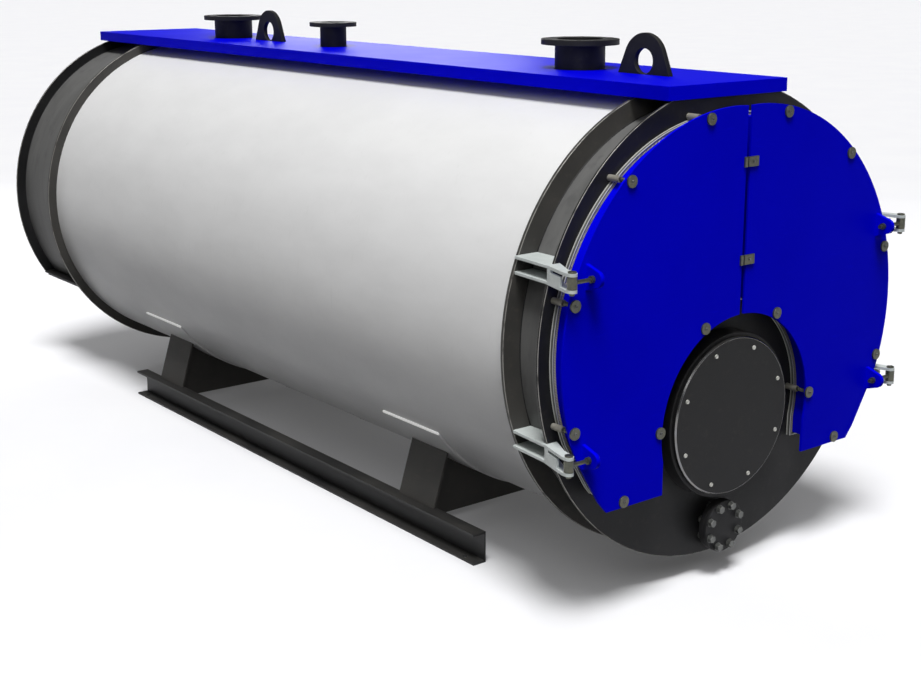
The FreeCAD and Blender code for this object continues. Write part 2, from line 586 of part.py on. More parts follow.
def bracket(level, height):
    """Two arm plates beside the smoke box, and the bracket with its pin in front of the front plate."""
    arms, cheeks = [], []
    for number, low in enumerate((f"{height} - hingeHalf", f"{height} + hingeHalf - hingePlate")):
        high = f"({low}) + hingePlate"
        arms.append(cut(f"{level}Arm{number}", flatPlate(f"{level}ArmPlate{number}", armPlan, low, high),
                        rod(f"{level}ArmRim{number}", "frontPlateRadius", "y", "frontFace - 1",
                            "frontPlateBack", axis),
                        rod(f"{level}ArmShell{number}", "frontBoxRadius", "y", "frontFace - 1",
                            "tubePlateFace + 1", axis)))
        cheek = fuse(f"{level}Cheek{number}",
                     flatPlate(f"{level}CheekPlate{number}", bracketPlan, low, high),
                     rod(f"{level}CheekEnd{number}", "eyeRadius", "z", low, high, ("pinOut", "pinY")))
        cheeks.append(cheek)
    # the web closes the outer side, with a slot left under the top plate
    web = flatPlate(f"{level}Web", [("pinOut - eyeRadius - hingePlate", "frontFace"), (armOut, "frontFace"),
                                    ("pinOut + 0.4 * eyeRadius", "pinY + 3 * eyeRadius"),
                                    ("pinOut + 0.4 * eyeRadius - hingePlate", "pinY + 3 * eyeRadius")],
                    f"{height} - hingeHalf + hingePlate", f"{height} + hingeHalf - 2 * hingePlate")
    post = flatPlate(f"{level}WebPost", [("pinOut - eyeRadius - hingePlate", "frontFace"), (armOut, "frontFace"),
                                         ("pinOut - 0.6 * eyeRadius", "0.8 * frontFace + 0.2 * (pinY + eyeRadius)"),
                                         ("pinOut - 0.6 * eyeRadius - hingePlate",
                                          "0.8 * frontFace + 0.2 * (pinY + eyeRadius)")],
                     f"{height} - hingeHalf + hingePlate", f"{height} + hingeHalf - hingePlate")
    hole = rod(f"{level}PinHole", "pinRadius", "z", f"{height} - 2 * hingeHalf", f"{height} + 2 * hingeHalf",
               ("pinOut", "pinY"))
    frame = cut(f"{level}Bracket", fuse(f"{level}BracketBlank", *cheeks, web, post), hole)
    pin = fuse(f"{level}Pin",
               rod(f"{level}PinShank", "pinRadius", "z", f"{height} - hingeHalf - pinRadius",
                   f"{height} + hingeHalf", ("pinOut", "pinY")),
               rod(f"{level}PinHead", "1.6 * pinRadius", "z", f"{height} + hingeHalf",
                   f"{height} + hingeHalf + 0.6 * pinRadius", ("pinOut", "pinY")))
    return arms, frame, pin


def hingeEar(level, height):
    """An upright tab on the door face, straight flanks running into a round tip."""
    body = doc.addObject("PartDesign::Body", f"{level}EarBody")
    sketch = body.newObject("Sketcher::SketchObject", f"{level}EarSketch")
    sketch.AttachmentSupport = [(plane(body, "YZ_Plane"), "")]
    sketch.MapMode = "FlatFace"
    flank = "doorFace - earReach + 0.7 * earTip"
    outline(sketch, [(flank, f"{height} - 0.953 * earTip"), ("doorFace", f"{height} - earRoot"),
                     ("doorFace", f"{height} + earRoot"), (flank, f"{height} + 0.953 * earTip")])
    pad = body.newObject("PartDesign::Pad", f"{level}EarPad")
    pad.Profile = sketch
    pad.Midplane = True
    bind(pad, "Length", "2 * earHalf")
    bind(body, "Placement.Base.x", "padOut")
    return fuse(f"{level}Ear", body,
                rod(f"{level}EarRound", "earTip", "x", "padOut - earHalf", "padOut + earHalf",
                    ("doorFace - earReach + earTip", height)))


def hingeEye(level, height):
    """The eye on the pin with its threaded rod, held by two nuts in the ear of the door."""
    eye = cut(f"{level}Eye", fuse(f"{level}EyeBlank",
              rod(f"{level}EyeBarrel", "eyeRadius", "z", f"{height} - eyeHalf", f"{height} + eyeHalf",
                  ("pinOut", "pinY")),
              rod(f"{level}EyeRod", "eyeRodRadius", "x", "padOut - earHalf - 2.2 * nutThick", "pinOut",
                  ("pinY", height)),
              rod(f"{level}NutOut", "1.7 * eyeRodRadius", "x", "padOut + earHalf",
                  "padOut + earHalf + nutThick", ("pinY", height)),
              rod(f"{level}NutIn", "1.7 * eyeRodRadius", "x", "padOut - earHalf - nutThick", "padOut - earHalf",
                  ("pinY", height))),
              rod(f"{level}EyeBore", "pinRadius + runFit", "z", f"{height} - 2 * eyeHalf",
                  f"{height} + 2 * eyeHalf", ("pinOut", "pinY")))
    hole = rod(f"{level}EarHole", "eyeRodRadius", "x", "padOut - 3 * earHalf", "padOut + 3 * earHalf",
               ("pinY", height))
    return eye, cut(f"{level}Pad", hingeEar(level, height), hole)


arms, frames, pins, eyes, pads = [], [], [], [], []
for level, height in zip(("upper", "lower"), hingeHeights):
    armPair, frame, pin = bracket(level, height)
    eye, pad = hingeEye(level, height)
    arms += armPair
    frames.append(frame)
    pins.append(pin)
    eyes.append(eye)
    pads.append(pad)
for name, pieces in (("hinge_arms", arms), ("hinge_brackets", frames), ("hinge_pins", pins)):
    node(name, bothSides(name + "Both", group(name + "Right", *pieces)))
for name, source in (("face", rightFace), ("body", rightBody), ("clamp_bolts", rightClamps),
                     ("hinge_pads", group("RightPads", *pads)), ("hinge_eyes", group("RightEyes", *eyes))):
    node(f"door_right_{name}", source)
    node(f"door_left_{name}", mirror(f"Left{name}", source))

# catches at the meeting edges: the right one reaches over the gap, the left one is its keeper
catchHeights = ("axisHeight + upperCatch", "axisHeight + lowerCatch")
for side, (low, high) in (("right", ("-catchReach", "catchOut")), ("left", ("-catchKeeper", "-doorMiddle"))):
    node(f"door_{side}_catches", group(f"{side}Catches", *[
         block(f"{side}Catch{number}", (low, high), ("doorFace - catchThick", "doorFace"),
               (f"{height} - catchHalf", f"{height} + catchHalf"))
         for number, height in enumerate(catchHeights)]))


# ---------------------------------------------------------------- saddles and base channels
def saddle(end, at):
    """Web plate, two leaning legs and the wear pad of one saddle."""
    middle = f"(frontFace + {at})"
    lengthways = (f"{middle} - legLength / 2", f"{middle} + legLength / 2")
    padRoom = rod(f"{end}PadRoom", "claddingRadius + wearPadThick", "y", f"{middle} - padLength",
                  f"{middle} + padLength", axis)
    legFoot = "(channelBack + legThick)"
    legTop = f"({legFoot} - legLean * (axisHeight - channelHeight))"
    innerFoot, innerTop = "channelBack", f"({legTop} - legThick)"
    profile = doc.addObject("PartDesign::Body", f"{end}LegBody")
    sketch = profile.newObject("Sketcher::SketchObject", f"{end}LegSketch")
    sketch.AttachmentSupport = [(plane(profile, "XZ_Plane"), "")]
    sketch.MapMode = "FlatFace"
    outline(sketch, [(innerFoot, "channelHeight"), (legFoot, "channelHeight"), (legTop, "axisHeight"),
                     (innerTop, "axisHeight")])
    legPad = profile.newObject("PartDesign::Pad", f"{end}LegPad")
    legPad.Profile = sketch
    legPad.Midplane = True
    bind(legPad, "Length", "legLength")
    bind(profile, "Placement.Base.y", middle)
    legRight = cut(f"{end}LegRight", profile, padRoom)
    webBody = doc.addObject("PartDesign::Body", f"{end}WebBody")
    webSketch = webBody.newObject("Sketcher::SketchObject", f"{end}WebSketch")
    webSketch.AttachmentSupport = [(plane(webBody, "XZ_Plane"), "")]
    webSketch.MapMode = "FlatFace"
    webFoot = "(channelBack - channelWeb)"
    outline(webSketch, [(f"-{webFoot}", "saddleClear"), (webFoot, "saddleClear"), (webFoot, "channelHeight"),
                        (innerFoot, "channelHeight"), (innerTop, "axisHeight"), (f"-{innerTop}", "axisHeight"),
                        (f"-{innerFoot}", "channelHeight"), (f"-{webFoot}", "channelHeight")])
    webPad = webBody.newObject("PartDesign::Pad", f"{end}WebPad")
    webPad.Profile = webSketch
    webPad.Midplane = True
    bind(webPad, "Length", "saddleWeb")
    bind(webBody, "Placement.Base.y", middle)
    web = cut(f"{end}Web", webBody, padRoom)
    frame = fuse(f"{end}Saddle", web, legRight, mirror(f"{end}LegLeft", legRight))
    sector = doc.addObject("Part::Cylinder", f"{end}PadOutside")
    bind(sector, "Radius", "claddingRadius + wearPadThick")
    bind(sector, "Height", "padLength")
    bind(sector, "Angle", "2 * padAngle")
    inner = rod(f"{end}PadInside", "claddingRadius", "y", f"{middle} - padLength", f"{middle} + padLength", axis)
    turn = FreeCAD.Rotation(FreeCAD.Vector(1, 0, 0), -90)
    spin = FreeCAD.Rotation(FreeCAD.Vector(0, 0, 1), 90 - size("padAngle"))
    sector.Placement = FreeCAD.Placement(FreeCAD.Vector(), turn.multiply(spin))
    bind(sector, "Placement.Base.y", f"{middle} - padLength / 2")
    bind(sector, "Placement.Base.z", "axisHeight")
    return frame, cut(f"{end}WearPad", sector, inner)


for end, at in (("front", "frontSaddleAt"), ("rear", "rearSaddleAt")):
    frame, pad = saddle(end, at)
    node(f"saddle_{end}", frame)
    node(f"wear_pad_{end}", pad)


def baseChannel():
    """The right base channel, its open side outward, with an anchor hole near each end."""
    body = doc.addObject("PartDesign::Body", "ChannelBody")
    sketch = body.newObject("Sketcher::SketchObject", "ChannelSection")
    sketch.AttachmentSupport = [(plane(body, "XZ_Plane"), "")]
    sketch.MapMode = "FlatFace"
    inner = "channelBack - channelWeb"
    outline(sketch, [(inner, "0"), ("channelTip", "0"), ("channelTip", "channelFlangeThick"),
                     ("channelBack", "channelFlangeThick"),
                     ("channelBack", "channelHeight - channelFlangeThick"),
                     ("channelTip", "channelHeight - channelFlangeThick"), ("channelTip", "channelHeight"),
                     (inner, "channelHeight")])
    pad = body.newObject("PartDesign::Pad", "ChannelPad")
    pad.Profile = sketch
    pad.Midplane = True
    bind(pad, "Length", "channelLength")
    holes = [rod(f"AnchorHole{number}", "anchorRadius", "z", "-1", "channelFlangeThick + 1",
                 ("channelBack + anchorOut", at))
             for number, at in enumerate(("channelFront + anchorFromEnd", "-channelFront - anchorFromEnd"))]
    return cut("RightChannel", body, *holes)


rightChannel = baseChannel()
node("base_channel_right", rightChannel)
node("base_channel_left", mirror("LeftChannel", rightChannel))

# ---------------------------------------------------------------- build, check and write
doc.recompute()
for thing in doc.Objects:
    if "Invalid" in thing.State or "Error" in thing.State:
        raise RuntimeError(f"{thing.Name} did not build: {thing.State}")
for thing in nodes:
    if thing.Shape.isNull() or not thing.Shape.isValid():
        raise RuntimeError(f"{thing.Label} has no valid shape")
os.makedirs("parts", exist_ok=True)
for thing in nodes:
    thing.Shape.exportStep(f"parts/{thing.Label}.step")
    print(f"{thing.Label}: {len(thing.Shape.Solids)} solids, {thing.Shape.Volume / 1e6:.2f} litres")
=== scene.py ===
import json
import math
import bmesh
import bpy
from mathutils import Matrix, Vector


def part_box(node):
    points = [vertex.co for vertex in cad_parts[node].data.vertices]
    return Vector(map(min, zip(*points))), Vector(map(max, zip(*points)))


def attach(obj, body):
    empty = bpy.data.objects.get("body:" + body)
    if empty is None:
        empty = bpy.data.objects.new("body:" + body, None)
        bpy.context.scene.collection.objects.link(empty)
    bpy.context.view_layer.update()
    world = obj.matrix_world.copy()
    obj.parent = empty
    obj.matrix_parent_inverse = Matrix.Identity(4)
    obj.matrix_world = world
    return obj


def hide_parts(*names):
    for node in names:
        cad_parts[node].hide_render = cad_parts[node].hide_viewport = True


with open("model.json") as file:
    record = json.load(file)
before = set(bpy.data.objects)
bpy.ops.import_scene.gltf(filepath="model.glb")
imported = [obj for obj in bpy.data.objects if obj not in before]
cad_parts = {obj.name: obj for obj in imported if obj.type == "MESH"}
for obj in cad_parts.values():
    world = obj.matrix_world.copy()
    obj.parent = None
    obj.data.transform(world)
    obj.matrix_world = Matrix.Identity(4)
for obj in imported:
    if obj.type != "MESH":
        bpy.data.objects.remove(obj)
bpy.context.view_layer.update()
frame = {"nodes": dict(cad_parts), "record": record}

nodes = frame["nodes"]
mm = 0.001
fullTurn = 2 * math.pi


# small helpers
def linearColour(code):
    values = [int(code[i:i + 2], 16) / 255 for i in (1, 3, 5)]
    return [v / 12.92 if v <= 0.04045 else ((v + 0.055) / 1.055) ** 2.4 for v in values] + [1.0]


def addNode(tree, kind, feeds=None, **settings):  # a feed: a value, a socket, or a node's first output
    node = tree.nodes.new(kind)
    for name, value in settings.items():
        setattr(node, name, value)
    for name, value in (feeds or {}).items():
        if isinstance(value, bpy.types.Node):
            value = value.outputs[0]
        if isinstance(value, bpy.types.NodeSocket):
            tree.links.new(value, node.inputs[name])
        else:
            node.inputs[name].default_value = value
    return node


def showMesh(name, mesh):
    thing = bpy.data.objects.new(name, mesh)
    bpy.context.scene.collection.objects.link(thing)
    return thing


def meshFrom(solid, name):
    mesh = bpy.data.meshes.new(name)
    solid.to_mesh(mesh)
    solid.free()
    return mesh


def mergedCopy(nodeName):  # a node's loose triangles as one joined surface
    solid = bmesh.new()
    solid.from_mesh(nodes[nodeName].data)
    bmesh.ops.remove_doubles(solid, verts=solid.verts, dist=1e-5)
    return solid


def applyModifiers(piece):
    graph = bpy.context.evaluated_depsgraph_get()
    finished = bpy.data.meshes.new_from_object(piece.evaluated_get(graph), depsgraph=graph)
    piece.modifiers.clear()
    piece.data = finished


def smoothByAngle(mesh, degrees=32):
    mesh.polygons.foreach_set("use_smooth", [True] * len(mesh.polygons))
    mesh.set_sharp_from_angle(angle=math.radians(degrees))


def settle(piece, body, material=None, stands=()):
    if material:
        piece.data.materials.clear()
        piece.data.materials.append(material)
    if not piece.data.has_custom_normals:
        smoothByAngle(piece.data)
    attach(piece, body)
    if stands:
        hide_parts(*stands)


# finishes: every layer is a pattern sized in mm that tints, roughens or raises the surface; it is
# noise unless it says cells or waves, and its size is one number or one for each of x, y and z
def surfaceFinish(name, colour, roughness, metallic=0.0, coat=0.0, gloss=0.5, layers=(), dust=None):
    material = bpy.data.materials.new(name)
    material.use_nodes = True
    tree = material.node_tree
    shader = tree.nodes["Principled BSDF"]
    shader.inputs["Metallic"].default_value = metallic
    shader.inputs["Specular IOR Level"].default_value = gloss
    if coat:
        shader.inputs["Coat Weight"].default_value = coat
        shader.inputs["Coat Roughness"].default_value = 0.12
    place = addNode(tree, "ShaderNodeTexCoord").outputs["Object"]
    tone, rough, normal = linearColour(colour), roughness, None
    for layer in layers:
        size = layer["size"] if isinstance(layer["size"], tuple) else [layer["size"]] * 3
        spread = addNode(tree, "ShaderNodeMapping", {
            "Vector": place, "Scale": [1 / (s * mm) for s in size], "Rotation": layer.get("turn", (0, 0, 0))})
        feeds = {"Vector": spread, "Scale": 1.0}
        if layer.get("kind") == "cells":
            cells = addNode(tree, "ShaderNodeTexVoronoi", feeds, feature=layer.get("feature", "F1"))
            pattern = cells.outputs["Distance"]
        elif layer.get("kind") == "waves":
            feeds["Distortion"] = layer.get("bend", 1.0)
            waves = addNode(tree, "ShaderNodeTexWave", feeds, bands_direction=layer.get("along", "X"))
            pattern = waves.outputs["Fac"]
        else:
            feeds.update({"Detail": layer.get("detail", 4.0), "Roughness": 0.55})
            pattern = addNode(tree, "ShaderNodeTexNoise", feeds).outputs["Fac"]
        low, high = layer.get("between", (0.35, 0.65))
        share = addNode(tree, "ShaderNodeMapRange", {
            "Value": pattern, "From Min": low, "From Max": high, "To Max": layer.get("amount", 1.0)})
        if "tint" in layer:
            mixed = {0: share, 6: tone, 7: linearColour(layer["tint"])}
            tone = addNode(tree, "ShaderNodeMix", mixed, data_type="RGBA").outputs[2]
        if "rough" in layer:
            rougher = {0: share, 1: layer["rough"], 2: rough}
            rough = addNode(tree, "ShaderNodeMath", rougher, operation="MULTIPLY_ADD").outputs[0]
        if "depth" in layer:
            feeds = {"Height": pattern, "Distance": layer["depth"] * mm, "Strength": 1.0}
            if normal:
                feeds["Normal"] = normal
            normal = addNode(tree, "ShaderNodeBump", feeds).outputs[0]
    if dust:  # settles on what faces up, in patches
        facing = addNode(tree, "ShaderNodeNewGeometry").outputs["Normal"]
        up = addNode(tree, "ShaderNodeSeparateXYZ", {0: facing}).outputs[2]
        patches = addNode(tree, "ShaderNodeTexNoise", {"Vector": place, "Scale": 3.5, "Detail": 5.0})
        lying = addNode(tree, "ShaderNodeMath", {0: up, 1: patches.outputs["Fac"]}, operation="MULTIPLY")
        share = addNode(tree, "ShaderNodeMapRange", {
            "Value": lying, "From Min": 0.3, "From Max": 0.75, "To Max": dust})
        mixed = {0: share, 6: tone, 7: linearColour("#B9B4AA")}
        tone = addNode(tree, "ShaderNodeMix", mixed, data_type="RGBA").outputs[2]
        rougher = {0: share, 1: 0.5, 2: rough}
        rough = addNode(tree, "ShaderNodeMath", rougher, operation="MULTIPLY_ADD").outputs[0]
    for socket, value in (("Base Color", tone), ("Roughness", rough), ("Normal", normal)):
        if isinstance(value, bpy.types.NodeSocket):
            tree.links.new(value, shader.inputs[socket])
        elif value is not None:
            shader.inputs[socket].default_value = value
    return material


def letGlow(material, strength):
    shader = material.node_tree.nodes["Principled BSDF"]
    shader.inputs["Emission Color"].default_value = (1, 1, 1, 1)
    shader.inputs["Emission Strength"].default_value = strength


# sprayed satin enamel on sheet steel: deep blue, a faint orange peel and slight cloudiness
blueEnamel = surfaceFinish("blueSprayedEnamel", "#0000DA", 0.45, gloss=0.03, layers=(
    {"size": 620, "tint": "#0000CA", "amount": 0.5, "rough": 0.08},
    {"size": (90, 90, 14), "between": (0.60, 0.74), "tint": "#0000EC", "amount": 0.30},
    {"size": 7, "detail": 2.0, "depth": 0.05}))  # peel drawn 7 mm coarse so it shows
# coil-coated white sheet rolled round the drum: smooth, with slow waves between its fixings and light smudges
whiteSheet = surfaceFinish("whiteCoilCoatedSheet", "#E6E6E6", 0.42, coat=0.08, dust=0.03, layers=(
    {"size": (900, 700, 900), "depth": 0.9, "detail": 1.0},
    {"size": (260, 420, 160), "tint": "#DBDBDB", "amount": 0.5, "rough": 0.10},
    {"size": (24, 24, 300), "between": (0.62, 0.80), "tint": "#CFCFCC", "amount": 0.25},
    {"size": 5, "detail": 2.0, "depth": 0.02}))
# matt black heat-resisting paint on thick plate: grainy, slightly chalky in patches
blackStovePaint = surfaceFinish("blackHeatResistingPaint", "#19191A", 0.50, gloss=0.22, dust=0.03, layers=(
    {"size": 240, "tint": "#242425", "amount": 0.8, "rough": 0.10},
    {"size": 32, "between": (0.58, 0.72), "tint": "#2D2C2A", "amount": 0.5},
    {"size": 4, "detail": 3.0, "depth": 0.10}))
# the same paint greyed by heat on the tube plates and saddles: dull charcoal with paler patches
greyedBlackPaint = surfaceFinish("heatGreyedBlackPaint", "#3D3C3A", 0.55, gloss=0.35, dust=0.04, layers=(
    {"size": 200, "tint": "#494744", "amount": 0.8, "rough": 0.08},
    {"size": (28, 90, 28), "between": (0.58, 0.74), "tint": "#544F49", "amount": 0.4},
    {"size": 4, "detail": 3.0, "depth": 0.10}))
# plate edges where the paint is rubbed through: dull bare steel with paint left in patches, kept paler than
# wear alone so it also paints a highlight along each rim
rubbedEdgeAndHighlight = surfaceFinish("rubbedPlateEdgePaintedHighlight", "#8E8C87", 0.42, metallic=0.4, layers=(
    {"size": 70, "between": (0.50, 0.66), "tint": "#3A3936", "amount": 0.9, "rough": 0.10},
    {"size": 3, "detail": 2.0, "depth": 0.05}))
# hot-rolled section under the same paint: mill scale shows as long streaks along the rolling direction
blackRolledSteel = surfaceFinish("paintedRolledSteel", "#1F2021", 0.48, gloss=0.4, dust=0.06, layers=(
    {"size": (30, 900, 30), "tint": "#2C2B29", "amount": 0.7, "rough": 0.12},
    {"kind": "cells", "size": (26, 40, 26), "between": (0.0, 0.35), "tint": "#18181A", "amount": 0.35},
    {"size": (6, 12, 6), "detail": 3.0, "depth": 0.16}))
# grey heat-resisting primer on rolled plate: bands round the shell, darker in places
greyPrimer = surfaceFinish("greyHeatPrimer", "#585857", 0.55, dust=0.04, layers=(
    {"size": (300, 60, 300), "tint": "#676766", "amount": 0.8, "rough": 0.06},
    {"size": (60, 60, 200), "between": (0.56, 0.74), "tint": "#464646", "amount": 0.6},
    {"size": 5, "detail": 3.0, "depth": 0.08}))
# light grey hammered enamel on the hinge plates: pale, dimpled every 9 mm
hingeEnamel = surfaceFinish("greyHammeredEnamel", "#C8CFCD", 0.38, coat=0.15, dust=0.06, layers=(
    {"kind": "cells", "size": 9, "between": (0.1, 0.7), "tint": "#D8DEDC", "amount": 0.5, "depth": 0.12},
    {"size": 70, "tint": "#B6BDBB", "amount": 0.5, "rough": 0.10}))
# zinc plate, clear passivated: dull silver with a yellowish cast in places
zincPlate = surfaceFinish("zincPlatedSteel", "#5E6058", 0.36, metallic=0.8, layers=(
    {"kind": "cells", "size": 11, "tint": "#4C4E45", "between": (0.1, 0.8), "amount": 0.6, "rough": 0.14},
    {"size": 34, "tint": "#6A6858", "amount": 0.5},
    {"size": 2, "detail": 2.0, "depth": 0.03}))
# hot-dip zinc on the clamp sleeves: thicker than plating and more matt; its paler colour is painted light
# that lifts sleeves sitting in shade
dippedZincPaintedLighter = surfaceFinish("hotDippedZincPaintedLighter", "#A3A097", 0.50, metallic=0.3, layers=(
    {"kind": "cells", "size": 8, "tint": "#8E8C83", "between": (0.1, 0.8), "amount": 0.6, "rough": 0.10},
    {"size": 30, "tint": "#7F7B6E", "amount": 0.5}))
# black-oxide bolts: charcoal grey with a faint steel sheen, rubbed paler in places
blackOxide = surfaceFinish("blackOxideBolt", "#646665", 0.38, metallic=0.8, layers=(
    {"size": 9, "tint": "#74746F", "amount": 0.7, "rough": 0.14},
    {"size": 2, "detail": 2.0, "depth": 0.04}))
# galvanised folded sheet of the seal channels: pale with a broad spangle
galvanised = surfaceFinish("galvanisedSealChannel", "#8E918F", 0.42, metallic=0.85, dust=0.05, layers=(
    {"kind": "cells", "size": 16, "tint": "#7D8180", "between": (0.1, 0.7), "amount": 0.7, "rough": 0.12},
    {"size": 120, "tint": "#85837A", "amount": 0.5}))
# folded edges of the seal channels, where the zinc is polished by the door: pale and smooth
foldedEdge = surfaceFinish("polishedFoldedEdge", "#D6D6D0", 0.34, metallic=0.3, layers=(
    {"size": 60, "tint": "#B9B8B0", "amount": 0.6, "rough": 0.12},))
# skinned-over sealant bead: a white line, softly glossy, a little dusty in its hollows; it also glows
# faintly, painted light that keeps it bright in the drum's shade
glowingSealantBead = surfaceFinish("sealantBeadPaintedGlow", "#F8F8F6", 0.45, layers=(
    {"size": 50, "tint": "#ECEAE4", "amount": 0.6, "rough": 0.10, "depth": 0.3},))
# the glow is painted light: the bead lies in the drum's shade and no lamp reaches it
letGlow(glowingSealantBead, 0.35)
# turned steel: fine rings left by the lathe, oiled
turnedSteel = surfaceFinish("turnedSteel", "#7E7F81", 0.16, metallic=1.0, layers=(
    {"kind": "waves", "size": (300, 3, 300), "along": "Y", "bend": 0.4, "depth": 0.03, "rough": 0.08},
    {"size": 40, "tint": "#77726A", "amount": 0.5}))
# castable refractory: tan-grey, speckled with aggregate, pitted and hairline crazed
castRefractory = surfaceFinish("castRefractory", "#A0907A", 0.88, layers=(
    {"size": 160, "tint": "#7C6D5C", "amount": 0.8},
    {"kind": "cells", "size": 14, "tint": "#C2B59F", "between": (0.0, 0.4), "amount": 0.5, "depth": 1.2},
    {"kind": "cells", "size": 120, "feature": "DISTANCE_TO_EDGE", "between": (0.03, 0.0), "tint": "#5C5146",
     "amount": 0.45},
    {"size": 60, "between": (0.5, 0.75), "tint": "#3E3833", "amount": 0.6}))
# braided ceramic rope: off-white yarn that crosses at a slant
ceramicRope = surfaceFinish("braidedCeramicRope", "#CFC8B6", 0.92, layers=(
    {"kind": "waves", "size": 22, "turn": (0.0, 0.8, 0.0), "bend": 0.6, "depth": 1.6, "tint": "#A89F8C",
     "amount": 0.6},
    {"kind": "waves", "size": 22, "turn": (0.0, -0.8, 0.0), "bend": 0.6, "depth": 1.6},
    {"size": 140, "tint": "#7E766A", "amount": 0.5}))
# sooted boiler plate behind the doors: brown-black, velvety, paler where it was brushed
sootedPlate = surfaceFinish("sootedBoilerPlate", "#2A2420", 0.85, layers=(
    {"size": 110, "tint": "#453A31", "amount": 0.8},
    {"size": (18, 18, 160), "between": (0.6, 0.75), "tint": "#5A5048", "amount": 0.5, "rough": -0.2},
    {"size": 5, "depth": 0.4}))
# expanded tube ends and anchor caps: brownish steel under scale
scaledTube = surfaceFinish("heatScaledTube", "#4D4743", 0.60, metallic=0.6, layers=(
    {"size": 30, "tint": "#6B5646", "amount": 0.8, "rough": 0.15},
    {"size": 4, "depth": 0.25}))
# tube bores: a near-black disc across each bore, painted shade for the hollow tube behind it, sooty as well
boreSootAndShade = surfaceFinish("boreSootAndPaintedShade", "#0B0A09", 0.95, layers=(
    {"size": 20, "tint": "#17130F", "amount": 0.9, "depth": 0.3},))
# graphite gasket sheet: dark, faintly metallic at the cut edge
graphiteSheet = surfaceFinish("graphiteGasket", "#1D1D1F", 0.62, metallic=0.2, layers=(
    {"size": (12, 12, 2), "tint": "#313134", "amount": 0.7, "depth": 0.1},))
print("finishes made")


# places taken from the frame
def heightOf(box):
    return (box[0][2] + box[1][2]) / 2


def radiusOf(nodeName):
    low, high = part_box(nodeName)
    return (high[0] - low[0]) / 2


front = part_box("front_plate")
frontFaceY, frontBackY = front[0][1], front[1][1]
drumHeight = heightOf(front)
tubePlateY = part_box("front_tube_plate")[0][1]
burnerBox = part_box("burner_cover")
burnerHeight = heightOf(burnerBox)
bodyOf = {name: body for body, names in frame["record"]["behaviour"]["bodies"].items() for name in names}
slotOf = {row["node"]: row["material_slot"] for row in frame["record"]["subparts"]}


def solidBoxes(nodeName):  # lowest and highest corner of every separate solid in a node
    solid = mergedCopy(nodeName)
    seen, boxes = set(), []
    for start in solid.verts:
        if start in seen:
            continue
        seen.add(start)
        stack, points = [start], []
        while stack:
            corner = stack.pop()
            points.append(corner.co.copy())
            for edge in corner.link_edges:
                other = edge.other_vert(corner)
                if other not in seen:
                    seen.add(other)
                    stack.append(other)
        boxes.append((Vector(map(min, *points)), Vector(map(max, *points))))
    solid.free()
    return boxes


# edge-broken copies of the plates, sections and flanges: a small rounding that catches the light
edgeBreak = {"flatWithin": 0.6, "sharpOver": 40, "segments": 2}
roundings = (  # finish, width in mm, nodes
    (blueEnamel, 3.0, ("top_cover", "door_right_body", "door_left_body")),
    (blueEnamel, 2.0, ("door_right_face", "door_left_face", "door_right_hinge_pads", "door_left_hinge_pads")),
    (blackStovePaint, 3.0, ("lifting_lugs",)),
    (blackStovePaint, 2.5, ("front_plate", "rear_plate")),
    (blackStovePaint, 2.0, ("burner_ring", "drain_blind_flange")),
    (blackStovePaint, 1.6, ("rear_box_floor",)),
    (blackStovePaint, 1.5, ("drain_flange", "nozzle_front", "nozzle_middle", "nozzle_rear")),
    (greyedBlackPaint, 2.5, ("front_tube_plate", "rear_tube_plate")),
    (greyedBlackPaint, 1.5, ("saddle_front", "saddle_rear")),
    (blackRolledSteel, 3.0, ("base_channel_right", "base_channel_left")),
    (whiteSheet, 1.5, ("wear_pad_front", "wear_pad_rear")),
    (hingeEnamel, 1.5, ("hinge_brackets", "hinge_arms")),
    (zincPlate, 1.2, ("door_right_clamp_bolts", "door_left_clamp_bolts")),
    (zincPlate, 1.2, ("door_right_catches", "door_left_catches")),
    (zincPlate, 1.0, ("hinge_pins",)))
# plates whose edge roundings take the rubbed finish: partly wear and partly a painted highlight along the rim
rubbedHighlightNodes = ("front_plate", "front_tube_plate", "rear_tube_plate", "rear_plate")


def breakEdges(nodeName, width, material):
    solid = mergedCopy(nodeName)
    flat = math.radians(edgeBreak["flatWithin"])
    bmesh.ops.dissolve_limit(solid, angle_limit=flat, verts=solid.verts, edges=solid.edges)
    mesh = meshFrom(solid, nodeName + "_finished")
    smoothByAngle(mesh, edgeBreak["sharpOver"])
    mesh.materials.append(material)
    piece = showMesh(nodeName + "_finished", mesh)
    rounding = piece.modifiers.new("edgeBreak", "BEVEL")
    rounding.width, rounding.segments = width * mm, edgeBreak["segments"]
    rounding.limit_method, rounding.angle_limit = "ANGLE", math.radians(edgeBreak["sharpOver"])
    rounding.use_clamp_overlap = True
    # the rounding's second finish is pale rubbed steel, which also paints a highlight line along the rim
    if nodeName in rubbedHighlightNodes:
        mesh.materials.append(rubbedEdgeAndHighlight)
        rounding.material = 1  # the rounding itself takes the second finish
    shading = piece.modifiers.new("flatShading", "WEIGHTED_NORMAL")  # broad faces stay flat beside a rounding
    shading.weight = 100
    applyModifiers(piece)
    settle(piece, bodyOf[nodeName], stands=[nodeName])


for material, width, names in roundings:
    for nodeName in names:
        breakEdges(nodeName, width, material)
# the clamp sleeves take the zinc painted paler to stand in for light they lack in their shade
plainFinishes = {
    "front_smoke_box_shell": greyPrimer, "rear_smoke_box_shell": greyPrimer, "furnace_throat": sootedPlate,
    "pressure_shell": sootedPlate, "cladding": whiteSheet, "cleanout_cover": graphiteSheet,
    "flue_outlet": blackStovePaint, "burner_cover": blackStovePaint, "seal_channels": galvanised,
    "clamp_sleeves": dippedZincPaintedLighter, "door_right_hinge_eyes": zincPlate, "door_left_hinge_eyes": zincPlate}
for nodeName, material in plainFinishes.items():
    nodes[nodeName].data.materials.clear()
    nodes[nodeName].data.materials.append(material)
print("edges broken")


